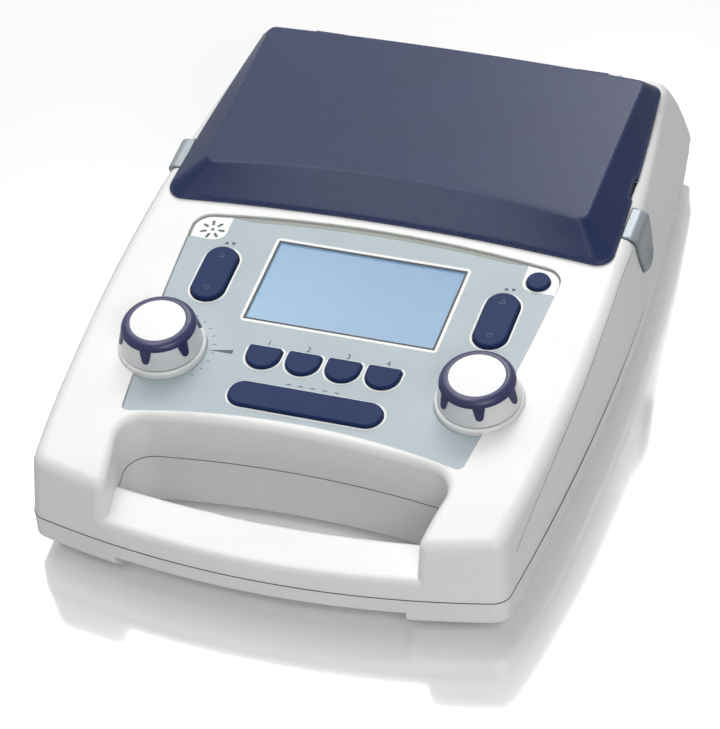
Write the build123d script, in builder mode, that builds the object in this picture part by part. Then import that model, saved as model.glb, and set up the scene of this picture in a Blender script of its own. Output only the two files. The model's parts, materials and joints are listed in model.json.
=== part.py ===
from build123d import *

import os
from collections import namedtuple
from math import cos, radians, sin, sqrt

# Portable pure tone audiometer with a sloping panel, a front grip and a rear compartment.
# Millimetres. X to the right, Y to the back, Z up, Z = 0 under the rubber feet.
# The panel's own axes are u (along X), v (up the slope to the rear) and w (off the panel).

os.makedirs("parts", exist_ok=True)

# Case
seam_z = 24.0
sleeve_z = 33.0
foot_z = 2.5
panel_tilt = 6.0
panel_y = -34.3
panel_z = 70.7
wall = 2.8
frame_w = 1.2
deck_w = -3.5
edge_round = 7.0
droop_v = -112.0
droop_radius = 140.0
droop_reach = 62.0
top_rear_v = 176.9
rear_foot_y = 190.0
rear_sagitta = 4.4
rear_round = 15.0
overrun = 60.0
joint_gap = 0.3
level_slack = 0.03

# Grip
bar_w = -20.5
bar_round = 4.0
opening_front_v = -131.2
opening_front_bow = 5.7
opening_middle_v = -115.0

# Lower case
band_inset = 14.0
band_front_grow = 8.3
band_rear_grow = 2.7
foot_inset = 8.0
foot_grow = 10.0
foot_start_x = 72.0
foot_front_y = -147.0
foot_rear_y = 150.0
pad_radius = 8.0
pad_places = ((90.0, -160.0), (88.0, 161.0))

# Case screws and their bosses
screw_places = ((100.0, -141.0), (106.0, -8.0), (92.0, 140.0))
screw_radius = 1.5
screw_head_radius = 3.0
screw_head_thick = 2.2
screw_grip = 9.0
screw_seat_z = 12.0
screw_clear = 0.3
boss_radius = 5.0

# Display
window_width = 97.0
window_height = 54.4
overlay_thick = 1.0
overlay_clear = 0.2
module_side = 4.25
module_border = 6.4
module_thick = 3.0
bracket_border = 6.4
bracket_thick = 1.2
bracket_window_width = 84.0
bracket_window_height = 46.0
bracket_pad_radius = 3.5

# Keys
key_hole_clear = 0.4
key_top_w = 2.0
key_round = 0.9
key_travel = 1.0
key_flange_gap = 0.2
key_flange_thick = 1.5
key_flange_width = 1.2
key_foot_w = -5.8
rocker_gap = 15.2
rocker_v = -2.5
rocker_length = 36.0
rocker_width = 16.4
rocker_top_w = 2.4
rocker_clear = 0.7
rocker_axis_w = -5.2
trunnion_radius = 1.3
trunnion_length = 2.4
trunnion_clear = 0.05
trunnion_lug_thick = 2.0
trunnion_lug_width = 6.0
trunnion_side_gap = 0.4
function_count = 4
function_pitch = 20.05
function_v = -49.3
function_radius = 8.4
function_flat = 5.3
function_round = 1.6
tone_v = -75.1
tone_length = 76.8
tone_width = 15.2
round_u = 83.9
round_v = 27.3
round_radius = 5.75

# Boards and key mat
board_w = -10.0
board_thick = 1.6
board_front_margin = 1.3
board_rear_margin = 6.2
board_side_margin = 1.6
board_boss_radius = 3.0
board_boss_side = 4.0
board_boss_front = 6.0
board_boss_rear = 4.4
board_screw_radius = 1.25
board_screw_head = 2.4
mat_margin = 3.0
mat_thick = 1.0
mat_window_clear = 1.8
mat_corner = 4.0
dome_radius = 4.0
dome_top_radius = 2.6
header_width = 34.0
header_depth = 7.0
header_height = 8.0
ribbon_width = 30.0
ribbon_thick = 0.9
main_width = 176.0
main_depth = 116.0
main_y = -54.0
main_z = 12.0
main_boss_inset = 8.0
power_width = 52.0
power_depth = 38.0
power_height = 18.0
power_u = 52.0
power_rib_pitch = 6.0
power_rib_width = 2.0
power_rib_height = 3.0
power_ribs = 6
chip_size = 16.0
chip_height = 2.0

# Dials
dial_u = 79.7
dial_v = -54.5
collar_radius = 21.4
collar_w = 3.5
collar_round = 1.2
bushing_radius = 4.5
bushing_clear = 0.5
bushing_w = 1.0
encoder_width = 16.0
encoder_depth = 14.0
encoder_height = 6.0
shaft_radius = 3.0
shaft_clear = 0.05
shaft_top_w = 12.5
shaft_foot_w = -8.5
skirt_foot_w = 4.0
skirt_top_w = 14.8
skirt_foot_radius = 20.1
skirt_top_radius = 18.0
skirt_wall = 2.0
hub_radius = 5.5
hub_foot_w = 4.4
grip_top_w = 18.3
grip_top_radius = 13.6
grip_outer_radius = 18.3
grip_bow_in_share = 0.24
grip_bow_up_share = 0.68
cap_radius = 13.5
cap_crown = 0.6
tooth_count = 6
full_turn = 360.0
tooth_width = 5.7
tooth_tip_w = 8.3
tooth_tip_radius = 2.0
tooth_proud = 0.9
tooth_turn_right = -71.0
tooth_turn_left = -90.5

# Speaker
speaker_u = -83.9
speaker_v = 27.3
speaker_radius = 10.5
speaker_depth = 5.0
speaker_magnet_radius = 6.0
speaker_rim = 1.2
slot_ring_radius = 4.6
slot_count = 7
slot_length = 3.4
slot_width = 1.4
slot_centre_radius = 0.9

# Compartment, tray and sockets
well_v = 113.0
well_width = 192.0
well_length = 94.0
well_corner = 8.0
tray_clear = 0.4
tray_wall = 2.2
tray_depth = 56.0
tray_flange = 3.6
tray_flange_thick = 1.2
socket_w = -28.0
socket_count = 4
socket_span = 6
socket_width = 14.0
socket_length = 17.0
socket_height = 13.0
socket_bush_radius = 3.6
socket_bore_radius = 1.8
socket_bush_reach = 4.0
socket_clear = 0.2
socket_back = 2.0
nut_across = 10.0
nut_thick = 2.0
inlet_inset = 18.0
inlet_bore_radius = 2.8
inlet_pin_radius = 1.0
socket_board_height = 24.0
socket_board_side = 8.0

# Lid
lid_gap = 0.3
lid_skirt = 1.5
lid_top_w = 13.0
lid_wall = 2.5
lid_top_inset = 0.6
lid_rib_count = 4
lid_rib_pitch = 46.0
lid_rib_length = 84.0
lid_rib_thick = 1.6
lid_rib_height = 3.0
cable_notch_v = 97.0
cable_notch_length = 14.0
cable_notch_height = 2.2
lid_crease = 2.0
hinge_v = 171.0
hinge_w = 4.2
knuckle_radius = 2.6
knuckle_length = 16.0
knuckle_web = 6.0
lug_length = 6.0
lug_gap = 0.3
lug_clear = 0.5
hinge_u = 70.0
hinge_pin_radius = 1.2
hinge_pin_clear = 0.05

# Latches
latch_face_u = 122.6
latch_plate = 3.2
latch_front_v = 65.0
latch_rear_v = 86.0
latch_tip_v = 84.0
latch_tip_w = -35.5
latch_belly_v = 90.6
latch_belly_w = -29.0
latch_heel_v = 77.0
latch_heel_w = -32.0
latch_arch_v = 71.0
latch_arch_w = -18.0
latch_crown_v = 89.2
latch_crown_w = -14.0
latch_clear = 0.8
latch_leg = 2.5
latch_leg_gap = 0.4
latch_pocket_u = 115.2
latch_pin_u = 118.2
latch_pin_w = -13.0
latch_pin_radius = 1.25
latch_pin_clear = 0.05
latch_barrel_radius = 2.3
latch_pin_reach = 4.4
latch_leg_u = 114.6
latch_round = 1.0
latch_corner = 3.0
latch_bend = 5.0
scoop_radius = 14.0
scoop_depth = 0.8
scoop_v = 84.0
scoop_w = -28.0

# A plan outline has a front and a rear edge, each an arc or a line, and two bowed sides.
# The bow is how far the corners lie behind the middle of that edge.
Outline = namedtuple(
    "Outline",
    "front front_bow half_front middle half_middle rear rear_bow half_rear front_corner rear_corner",
)
seam_outline = Outline(-190.0, 15.4, 117.5, 0.0, 123.3, 200.0, 0.0, 104.8, 9.0, 0.0)
frame_outline = Outline(-149.7, 14.7, 116.0, 0.0, 123.5, 204.0, 0.0, 101.5, 9.0, 0.0)
overlay_outline = Outline(-88.3, -10.7, 84.2, -25.0, 91.5, 43.4, -8.0, 94.9, 3.0, 10.0)
grip_recess = Outline(-175.0, 0.0, 73.5, -135.0, 78.0, -93.8, -7.75, 84.0, 0.0, 14.0)
lid_foot_outline = Outline(48.5, -6.2, 115.5, 108.0, 112.0, 172.0, 0.0, 106.0, 8.5, 6.0)
lid_top_outline = Outline(70.2, -9.1, 98.3, 105.0, 98.7, 166.5, -2.7, 100.0, 4.0, 4.0)

tilt = radians(panel_tilt)
panel = Plane(origin=(0, panel_y, panel_z), x_dir=(1, 0, 0), z_dir=(0, -sin(tilt), cos(tilt)))
overlay_foot_w = -overlay_thick
sides = (("right", 1), ("left", -1))

# Sizes that follow from the window, the keys, the speaker and the well
module_width = window_width + 2 * module_side
module_height = window_height + 2 * module_border
bracket_width = module_width + 2 * bracket_border
bracket_height = module_height + 2 * bracket_border
rocker_u = window_width / 2 + rocker_gap + rocker_width / 2
board_front_v = tone_v - tone_width / 2 - board_front_margin
board_rear_v = speaker_v + speaker_radius + board_rear_margin
board_height = board_rear_v - board_front_v
board_v = board_front_v + board_height / 2
board_width = 2 * (board_side_margin + speaker_radius - speaker_u)
board_boss_u = board_width / 2 - board_boss_side
board_boss_places = [
    (board_boss_u, v) for v in (board_front_v + board_boss_front, board_v, board_rear_v - board_boss_rear)
]
mat_window_width = bracket_width + 2 * mat_window_clear
dome_height = key_foot_w - key_travel - key_flange_gap - board_w - mat_thick
inlet_u = well_width / 2 - inlet_inset
socket_pitch = 2 * inlet_u / socket_span


def side_point(v, w):
    """Place in the side view (Y, Z) of a point given on the panel's axes."""
    return (panel_y + v * cos(tilt) - w * sin(tilt), panel_z + v * sin(tilt) + w * cos(tilt))


def across(u):
    """Plane square to u, with v and w as its own axes."""
    return Plane(origin=panel.from_local_coords((u, 0, 0)), x_dir=panel.y_dir, z_dir=(1, 0, 0))


def along(v):
    """Plane square to v, with u and w as its own axes."""
    return Plane(origin=panel.from_local_coords((0, v, 0)), x_dir=(1, 0, 0), z_dir=-panel.y_dir)


def grown(shape, front, side=None, rear=None):
    """The same outline moved outward, by one amount or by one for each edge; sharp rear corners stay sharp."""
    side = front if side is None else side
    rear = side if rear is None else rear
    return shape._replace(
        front=shape.front - front,
        half_front=shape.half_front + side,
        half_middle=shape.half_middle + side,
        rear=shape.rear + rear,
        half_rear=shape.half_rear + side,
        front_corner=max(shape.front_corner + min(front, side), 0),
        rear_corner=max(shape.rear_corner + min(rear, side), 0) if shape.rear_corner else 0,
    )


def half_at(shape, y):
    """Half width of an outline's bowed side at one place along it."""
    a, b, c = shape.front + shape.front_bow, shape.middle, shape.rear + shape.rear_bow
    fa, fb, fc = shape.half_front, shape.half_middle, shape.half_rear
    turn = 2 * (a * (fb - fc) + b * (fc - fa) + c * (fa - fb))
    sa, sb, sc = a * a + fa * fa, b * b + fb * fb, c * c + fc * fc
    centre = (sa * (fb - fc) + sb * (fc - fa) + sc * (fa - fb)) / turn
    centre_half = (sa * (c - b) + sb * (a - c) + sc * (b - a)) / turn
    rise = sqrt((a - centre) ** 2 + (fa - centre_half) ** 2 - (y - centre) ** 2)
    return centre_half + rise if fb > centre_half else centre_half - rise


def opening_of(recess, front):
    """The part of the grip recess that goes right through, behind the bar."""
    return recess._replace(
        front=front,
        front_bow=opening_front_bow,
        half_front=half_at(recess, front + opening_front_bow),
        middle=opening_middle_v,
        half_middle=half_at(recess, opening_middle_v),
        front_corner=0,
    )


def plan(plane, shape):
    """Sketch of a plan outline on a plane."""
    front_y = shape.front + shape.front_bow
    rear_y = shape.rear + shape.rear_bow
    with BuildSketch(plane) as sketch:
        with BuildLine():
            for side in (1, -1):
                ThreePointArc(
                    (side * shape.half_front, front_y),
                    (side * shape.half_middle, shape.middle),
                    (side * shape.half_rear, rear_y),
                )
            for y, bow, half in (
                (front_y, shape.front_bow, shape.half_front),
                (rear_y, shape.rear_bow, shape.half_rear),
            ):
                if bow:
                    ThreePointArc((-half, y), (0, y - bow), (half, y))
                else:
                    Line((-half, y), (half, y))
        make_face()
        if shape.front_corner:
            fillet(sketch.vertices().group_by(Axis.Y)[0], shape.front_corner)
        if shape.rear_corner:
            fillet(sketch.vertices().group_by(Axis.Y)[-1], shape.rear_corner)
    return sketch.sketch


def key_plan(plane, kind, place, grow=0.0):
    """Sketch of one key's outline, or of its hole or flange."""
    with BuildSketch(plane) as sketch:
        with Locations(place):
            if kind == "rocker":
                SlotOverall(rocker_length + 2 * grow, rocker_width + 2 * grow, rotation=90)
            elif kind == "tone":
                SlotOverall(tone_length + 2 * grow, tone_width + 2 * grow)
            elif kind == "round":
                Circle(round_radius + grow)
        if kind == "function":
            u, v = place
            radius = function_radius + grow
            flat = v + function_flat + grow
            with BuildLine():
                ThreePointArc((u - radius, v), (u, v - radius), (u + radius, v))
                Polyline((u + radius, v), (u + radius, flat), (u - radius, flat), (u - radius, v))
            make_face()
            fillet(sketch.vertices().group_by(Axis.Y)[-1], function_round + grow)
    return sketch.sketch


function_places = [
    ((step - (function_count - 1) / 2) * function_pitch, function_v) for step in range(function_count)
]
push_keys = [
    (f"function_key_{number + 1}", "function", place) for number, place in enumerate(function_places)
]
push_keys += [("tone_bar", "tone", (0.0, tone_v)), ("round_key", "round", (round_u, round_v))]
rocker_places = [(name, (side * rocker_u, rocker_v)) for name, side in sides]
dial_places = [(name, (side * dial_u, dial_v)) for name, side in sides]


def side_profile(drop, inset):
    """Closed side view of the case above the seam."""
    top = frame_w - drop
    start = side_point(droop_v, top)
    fall = droop_radius - sqrt(droop_radius**2 - droop_reach**2)
    end = side_point(droop_v - droop_reach, top - fall)
    crown = side_point(top_rear_v - inset, top)
    with BuildSketch(Plane.YZ) as sketch:
        with BuildLine():
            Line(crown, start)
            TangentArc(start, end, tangent=(start[0] - crown[0], start[1] - crown[1]))
            Polyline(end, (end[0], seam_z), (rear_foot_y - inset, seam_z))
            SagittaArc((rear_foot_y - inset, seam_z), crown, -rear_sagitta)
        make_face()
        fillet(sketch.vertices().sort_by_distance(crown)[0], rear_round - inset)
    return sketch.sketch


def upper_block(inset=0.0, drop=0.0):
    """Outer form of the upper case, or its hollow when inset."""
    with BuildPart() as block:
        loft(
            [
                plan(Plane.XY.offset(seam_z), grown(seam_outline, -inset)),
                plan(panel.offset(frame_w), grown(frame_outline, -inset)),
            ],
            ruled=True,
        )
        extrude(
            side_profile(drop, inset),
            amount=seam_outline.half_middle + overrun,
            both=True,
            mode=Mode.INTERSECT,
        )
    return block.part


def rim_edges(block):
    """Edges between the faces of the side profile and the walls."""
    curved = (GeomType.PLANE, GeomType.CYLINDER)
    tops = block.faces().filter_by(lambda f: f.geom_type in curved and f.center().Z > seam_z + wall)
    every = [edge for face in tops for edge in face.edges()]
    return ShapeList(e for e in every if every.count(e) == 1 and e.center().Z > seam_z + wall)


def grip_tube(grow, keep):
    """Column of the grip opening, on one side of the seam inside it."""
    recess = grown(grip_recess, grow)
    with BuildPart() as tube:
        opening = opening_of(recess, opening_front_v - grow)
        extrude(plan(panel.offset(bar_w - overrun), opening), amount=overrun + wall)
        if keep is not Keep.ALL:
            split(bisect_by=Plane.XY.offset(sleeve_z), keep=keep)
    return tube.part


def latch_plan(u, grow=0.0):
    """Sketch of the latch lever's outline seen from the side."""
    with BuildSketch(across(u)) as sketch:
        with BuildLine():
            Line((latch_front_v, frame_w), (latch_rear_v, frame_w))
            ThreePointArc(
                (latch_rear_v, frame_w),
                (latch_crown_v, latch_crown_w),
                (latch_belly_v, latch_belly_w),
            )
            ThreePointArc(
                (latch_belly_v, latch_belly_w),
                (latch_tip_v, latch_tip_w),
                (latch_heel_v, latch_heel_w),
            )
            ThreePointArc(
                (latch_heel_v, latch_heel_w),
                (latch_arch_v, latch_arch_w),
                (latch_front_v, frame_w),
            )
        make_face()
        if grow:
            offset(amount=grow)
        else:
            fillet(sketch.vertices().sort_by(Axis.Y)[:2], latch_corner)
    return sketch.sketch


def latch_barrel(radius, reach):
    """Column round the latch pin's axis, past the lever's edges by some reach."""
    with BuildPart() as barrel:
        with BuildSketch(along(latch_arch_v - reach)):
            with Locations((latch_pin_u, latch_pin_w)):
                Circle(radius)
        extrude(amount=-(latch_crown_v - latch_arch_v + 2 * reach))
    return barrel.part


def latch_notch():
    """Room for the lever's upper leg, through the rim of the case."""
    with BuildPart() as notch:
        extrude(latch_plan(latch_leg_u - latch_leg_gap, latch_leg_gap), amount=overrun)
        split(bisect_by=panel.offset(frame_w - latch_leg - latch_leg_gap), keep=Keep.TOP)
    return notch.part


def both_sides(solid):
    """A right-hand solid together with its mirror image."""
    return [solid, mirror(solid, about=Plane.YZ, mode=Mode.PRIVATE)]


def upper_cavity():
    """Hollow of the upper case, with its sleeve, pillars and latch walls left standing."""
    with BuildPart() as cavity:
        add(upper_block(wall, frame_w - deck_w))
        extrude(
            plan(panel.offset(bar_w - wall), grown(grip_recess, wall)),
            amount=overrun,
            mode=Mode.SUBTRACT,
        )
        add(grip_tube(wall, Keep.TOP), mode=Mode.SUBTRACT)
        with BuildSketch(Plane.XY.offset(seam_z)):
            for x, y in screw_places:
                with Locations((x, y), (-x, y)):
                    Circle(boss_radius)
        extrude(amount=2 * overrun, mode=Mode.SUBTRACT)
        backing = extrude(
            latch_plan(latch_pocket_u - wall, latch_clear + wall),
            amount=overrun,
            mode=Mode.PRIVATE,
        )
        add(both_sides(backing), mode=Mode.SUBTRACT)
    return cavity.part


def off_panel(point):
    """Height of a point off the panel."""
    return panel.to_local_coords(Vector(point)).Z


def grip_edges(block, recess_edges):
    """Top rim of the grip recess and the bar's two long edges."""
    rim = [e for e in recess_edges if min(off_panel(e @ 0), off_panel(e @ 1)) > bar_w + joint_gap]
    level = [e for e in block.edges() if max(abs(off_panel(e @ t) - bar_w) for t in (0, 1)) < level_slack]
    return rim + [e for e in level if e.length > grip_recess.half_front]


with BuildPart() as upper_case:
    add(upper_block())
    fillet(rim_edges(upper_case.part), edge_round)
    extrude(plan(panel.offset(bar_w), grip_recess), amount=overrun, mode=Mode.SUBTRACT)
    recess_edges = upper_case.edges(Select.LAST)
    add(grip_tube(0.0, Keep.ALL), mode=Mode.SUBTRACT)
    fillet(grip_edges(upper_case.part, recess_edges), bar_round)
    add(upper_cavity(), mode=Mode.SUBTRACT)
    # Pocket of the overlay
    extrude(
        plan(panel.offset(overlay_foot_w), grown(overlay_outline, overlay_clear)),
        amount=overrun,
        mode=Mode.SUBTRACT,
    )
    # Raised collars under the dials
    with BuildSketch(panel.offset(deck_w)):
        with Locations(*[place for _, place in dial_places]):
            Circle(collar_radius)
    extrude(amount=collar_w - deck_w)
    rims = upper_case.edges(Select.LAST).filter_by(GeomType.CIRCLE)
    fillet([e for e in rims if off_panel(e @ 0) > collar_w - joint_gap], collar_round)
    # Bosses of the control board and pads of the display bracket
    with BuildSketch(panel.offset(deck_w)):
        for u, v in board_boss_places:
            with Locations((u, v), (-u, v)):
                Circle(board_boss_radius)
    extrude(amount=board_w - deck_w)
    with BuildSketch(panel.offset(deck_w)):
        with GridLocations(
            bracket_width - 2 * bracket_pad_radius, bracket_height - 2 * bracket_pad_radius, 2, 2
        ):
            Circle(bracket_pad_radius)
    extrude(amount=overlay_foot_w - joint_gap - module_thick - deck_w)
    # Bearings of the rocker keys
    for _, (u, v) in rocker_places:
        for turn in (1, -1):
            inner = u + turn * (rocker_width / 2 + trunnion_side_gap)
            with BuildSketch(across(inner)):
                with Locations((v, deck_w)):
                    Rectangle(
                        trunnion_lug_width,
                        deck_w - rocker_axis_w + 2 * trunnion_radius,
                        align=(Align.CENTER, Align.MAX),
                    )
                with Locations((v, rocker_axis_w)):
                    Circle(trunnion_radius + trunnion_clear, mode=Mode.SUBTRACT)
            extrude(amount=turn * trunnion_lug_thick)
    # Openings of the panel
    with BuildSketch(panel.offset(deck_w)):
        Rectangle(module_width + 2 * overlay_clear, module_height + 2 * overlay_clear)
        with Locations(*[place for _, place in dial_places]):
            Circle(bushing_radius + bushing_clear)
        with Locations((0.0, well_v)):
            RectangleRounded(well_width, well_length, well_corner)
        with Locations((speaker_u, speaker_v)):
            Circle(slot_centre_radius)
            with PolarLocations(slot_ring_radius, slot_count):
                SlotOverall(slot_length, slot_width)
    extrude(amount=overrun, both=True, mode=Mode.SUBTRACT)
    for _, kind, place in push_keys:
        hole = key_plan(panel.offset(deck_w), kind, place, key_hole_clear)
        extrude(hole, amount=overrun, mode=Mode.SUBTRACT)
    for _, place in rocker_places:
        hole = key_plan(panel.offset(deck_w), "rocker", place, rocker_clear)
        extrude(hole, amount=overrun, mode=Mode.SUBTRACT)
    # Latch pockets, notches and pin holes
    pocket = extrude(latch_plan(latch_pocket_u, latch_clear), amount=overrun, mode=Mode.PRIVATE)
    for cut in (pocket, latch_notch(), latch_barrel(latch_pin_radius, latch_pin_reach)):
        add(both_sides(cut), mode=Mode.SUBTRACT)
    # Hinge lugs at the rear
    for _, side in sides:
        for turn in (1, -1):
            inner = side * hinge_u + turn * (knuckle_length / 2 + lug_gap)
            with BuildSketch(across(inner)):
                with Locations((hinge_v, hinge_w)):
                    Circle(knuckle_radius)
                    Rectangle(2 * knuckle_radius, hinge_w - deck_w, align=(Align.CENTER, Align.MAX))
                    Circle(hinge_pin_radius, mode=Mode.SUBTRACT)
            extrude(amount=turn * lug_length)
    # Threads of the case screws
    with BuildSketch(Plane.XY.offset(seam_z)):
        for x, y in screw_places:
            with Locations((x, y), (-x, y)):
                Circle(screw_radius)
    extrude(amount=screw_grip + wall, mode=Mode.SUBTRACT)
upper_case.part.label = "upper_case"
export_step(upper_case.part, "parts/upper_case.step")


def under_block(inset=0.0):
    """Outer form of the lower case below the seam, or its hollow when inset."""
    foot = Plane.XY.offset(foot_z + inset)
    seam = Plane.XY.offset(seam_z)
    rim = grown(seam_outline, -inset, -inset, -inset - (seam_outline.rear - rear_foot_y))
    with BuildPart() as body:
        extrude(plan(foot, rim), amount=seam_z - foot_z - inset)
        loft(
            [
                plan(foot, grown(rim, -band_inset)),
                plan(seam, grown(rim, band_front_grow, band_front_grow, band_rear_grow)),
            ],
            ruled=True,
            mode=Mode.INTERSECT,
        )
    with BuildPart() as feet:
        extrude(plan(foot, rim), amount=seam_z - foot_z - inset)
        loft(
            [plan(foot, grown(rim, -foot_inset)), plan(seam, grown(rim, foot_grow))],
            ruled=True,
            mode=Mode.INTERSECT,
        )
        with BuildSketch(foot):
            for _, side in sides:
                across_edge = Align.MIN if side > 0 else Align.MAX
                for y, edge in ((foot_front_y - inset, Align.MAX), (foot_rear_y + inset, Align.MIN)):
                    with Locations((side * (foot_start_x + inset), y)):
                        Rectangle(overrun, overrun, align=(across_edge, edge))
        extrude(amount=seam_z, mode=Mode.INTERSECT)
    return body.part + feet.part


main_boss_width = main_width - 2 * main_boss_inset
main_boss_depth = main_depth - 2 * main_boss_inset


def lower_cavity():
    """Hollow of the lower case, with its screw pillars and board posts left standing."""
    with BuildPart() as cavity:
        add(under_block(wall))
        with BuildSketch(Plane.XY.offset(foot_z)):
            for x, y in screw_places:
                with Locations((x, y), (-x, y)):
                    Circle(boss_radius)
        extrude(amount=seam_z - foot_z, mode=Mode.SUBTRACT)
        with BuildSketch(Plane.XY.offset(foot_z)):
            with Locations((0.0, main_y)):
                with GridLocations(main_boss_width, main_boss_depth, 2, 2):
                    Circle(board_boss_radius)
        extrude(amount=main_z - foot_z, mode=Mode.SUBTRACT)
    return cavity.part


def grip_collar():
    """Wall round the grip opening, from the floor of the lower case up to the sleeve."""
    with BuildPart() as collar:
        add(grip_tube(wall, Keep.BOTTOM))
        split(bisect_by=Plane.XY.offset(foot_z), keep=Keep.TOP)
    return collar.part


with BuildPart() as lower_case:
    add(under_block())
    add(lower_cavity(), mode=Mode.SUBTRACT)
    add(grip_collar())
    add(grip_tube(0.0, Keep.ALL), mode=Mode.SUBTRACT)
    # Holes of the case screws
    with BuildSketch(Plane.XY):
        for x, y in screw_places:
            with Locations((x, y), (-x, y)):
                Circle(screw_radius + screw_clear)
    extrude(amount=seam_z, mode=Mode.SUBTRACT)
    with BuildSketch(Plane.XY):
        for x, y in screw_places:
            with Locations((x, y), (-x, y)):
                Circle(screw_head_radius + screw_clear)
    extrude(amount=screw_seat_z, mode=Mode.SUBTRACT)
    with BuildSketch(Plane.XY.offset(main_z)):
        with Locations((0.0, main_y)):
            with GridLocations(main_boss_width, main_boss_depth, 2, 2):
                Circle(board_screw_radius)
    extrude(amount=-(main_z - foot_z - wall), mode=Mode.SUBTRACT)
lower_case.part.label = "lower_case"
export_step(lower_case.part, "parts/lower_case.step")


with BuildPart() as rubber_feet:
    with BuildSketch(Plane.XY):
        for x, y in pad_places:
            with Locations((x, y), (-x, y)):
                Circle(pad_radius)
    extrude(amount=foot_z)
rubber_feet.part.label = "rubber_feet"
export_step(rubber_feet.part, "parts/rubber_feet.step")


with BuildPart() as case_screws:
    with BuildSketch(Plane.XY.offset(screw_seat_z - screw_head_thick)):
        for x, y in screw_places:
            with Locations((x, y), (-x, y)):
                Circle(screw_head_radius)
    extrude(amount=screw_head_thick)
    with BuildSketch(Plane.XY.offset(screw_seat_z)):
        for x, y in screw_places:
            with Locations((x, y), (-x, y)):
                Circle(screw_radius)
    extrude(amount=seam_z + screw_grip - screw_seat_z)
case_screws.part.label = "case_screws"
export_step(case_screws.part, "parts/case_screws.step")


with BuildPart() as control_overlay:
    extrude(plan(panel.offset(overlay_foot_w), overlay_outline), amount=overlay_thick)
    with BuildSketch(panel.offset(overlay_foot_w)):
        Rectangle(window_width, window_height)
        with Locations(*[place for _, place in dial_places]):
            Circle(collar_radius + overlay_clear)
        with Locations((speaker_u, speaker_v)):
            Circle(slot_centre_radius)
            with PolarLocations(slot_ring_radius, slot_count):
                SlotOverall(slot_length, slot_width)
    extrude(amount=overlay_thick, mode=Mode.SUBTRACT)
    for _, kind, place in push_keys:
        hole = key_plan(panel.offset(overlay_foot_w), kind, place, key_hole_clear)
        extrude(hole, amount=overlay_thick, mode=Mode.SUBTRACT)
    for _, place in rocker_places:
        hole = key_plan(panel.offset(overlay_foot_w), "rocker", place, rocker_clear)
        extrude(hole, amount=overlay_thick, mode=Mode.SUBTRACT)
control_overlay.part.label = "control_overlay"
export_step(control_overlay.part, "parts/control_overlay.step")


with BuildPart() as display_window:
    with BuildSketch(panel.offset(overlay_foot_w)):
        Rectangle(window_width - overlay_clear, window_height - overlay_clear)
    extrude(amount=overlay_thick)
display_window.part.label = "display_window"
export_step(display_window.part, "parts/display_window.step")


module_top_w = overlay_foot_w - joint_gap
module_foot_w = module_top_w - module_thick
with BuildPart() as display_module:
    with BuildSketch(panel.offset(module_foot_w)):
        RectangleRounded(module_width, module_height, collar_round)
    extrude(amount=module_thick)
display_module.part.label = "display_module"
export_step(display_module.part, "parts/display_module.step")


with BuildPart() as display_bracket:
    with BuildSketch(panel.offset(module_foot_w)):
        RectangleRounded(bracket_width, bracket_height, bracket_pad_radius)
        Rectangle(bracket_window_width, bracket_window_height, mode=Mode.SUBTRACT)
    extrude(amount=-bracket_thick)
display_bracket.part.label = "display_bracket"
export_step(display_bracket.part, "parts/display_bracket.step")


key_flange_w = deck_w - key_flange_gap
for name, kind, place in push_keys:
    with BuildPart() as push_key:
        extrude(key_plan(panel.offset(key_foot_w), kind, place), amount=key_top_w - key_foot_w)
        crown = push_key.faces().filter_by(panel).sort_by(lambda f: off_panel(f.center()))[-1]
        fillet(crown.edges(), key_round)
        flange = key_plan(panel.offset(key_flange_w), kind, place, key_flange_width)
        extrude(flange, amount=-key_flange_thick)
    push_key.part.label = name
    export_step(push_key.part, f"parts/{name}.step")


for side_name, (u, v) in rocker_places:
    with BuildPart() as rocker:
        extrude(key_plan(panel.offset(key_foot_w), "rocker", (u, v)), amount=rocker_top_w - key_foot_w)
        crown = rocker.faces().filter_by(panel).sort_by(lambda f: off_panel(f.center()))[-1]
        fillet(crown.edges(), key_round)
        with BuildSketch(across(u)):
            with Locations((v, rocker_axis_w)):
                Circle(trunnion_radius)
        extrude(amount=rocker_width / 2 + trunnion_length, both=True)
    name = f"{side_name}_rocker_key"
    rocker.part.label = name
    export_step(rocker.part, f"parts/{name}.step")


mat_w = board_w + mat_thick
with BuildPart() as key_mat:
    with BuildSketch(panel.offset(board_w)):
        with Locations((0.0, board_v)):
            RectangleRounded(board_width - 2 * mat_margin, board_height - 2 * mat_margin, mat_corner)
        with Locations((0.0, -bracket_height / 2)):
            Rectangle(mat_window_width, board_height, align=(Align.CENTER, Align.MIN), mode=Mode.SUBTRACT)
        with Locations(*[place for _, place in dial_places]):
            Rectangle(
                encoder_width + 2 * joint_gap,
                encoder_depth + 2 * joint_gap,
                mode=Mode.SUBTRACT,
            )
        for u, v in board_boss_places:
            with Locations((u, v), (-u, v)):
                Circle(board_boss_radius + joint_gap, mode=Mode.SUBTRACT)
        with Locations((-mat_window_width / 2, speaker_v - speaker_radius - joint_gap)):
            Rectangle(board_width, board_height, align=(Align.MAX, Align.MIN), mode=Mode.SUBTRACT)
    extrude(amount=mat_thick)
    dome_places = [place for _, _, place in push_keys]
    for _, (u, v) in rocker_places:
        reach = (rocker_length - rocker_width) / 2
        dome_places += [(u, v + reach), (u, v - reach)]
    with BuildSketch(panel.offset(mat_w)):
        with Locations(*dome_places):
            Circle(dome_radius)
    with BuildSketch(panel.offset(mat_w + dome_height)):
        with Locations(*dome_places):
            Circle(dome_top_radius)
    for low, high in zip(
        key_mat.pending_faces[: len(dome_places)],
        key_mat.pending_faces[len(dome_places) :],
    ):
        loft([low, high], ruled=True)
    key_mat.pending_faces.clear()
key_mat.part.label = "key_mat"
export_step(key_mat.part, "parts/key_mat.step")


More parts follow.
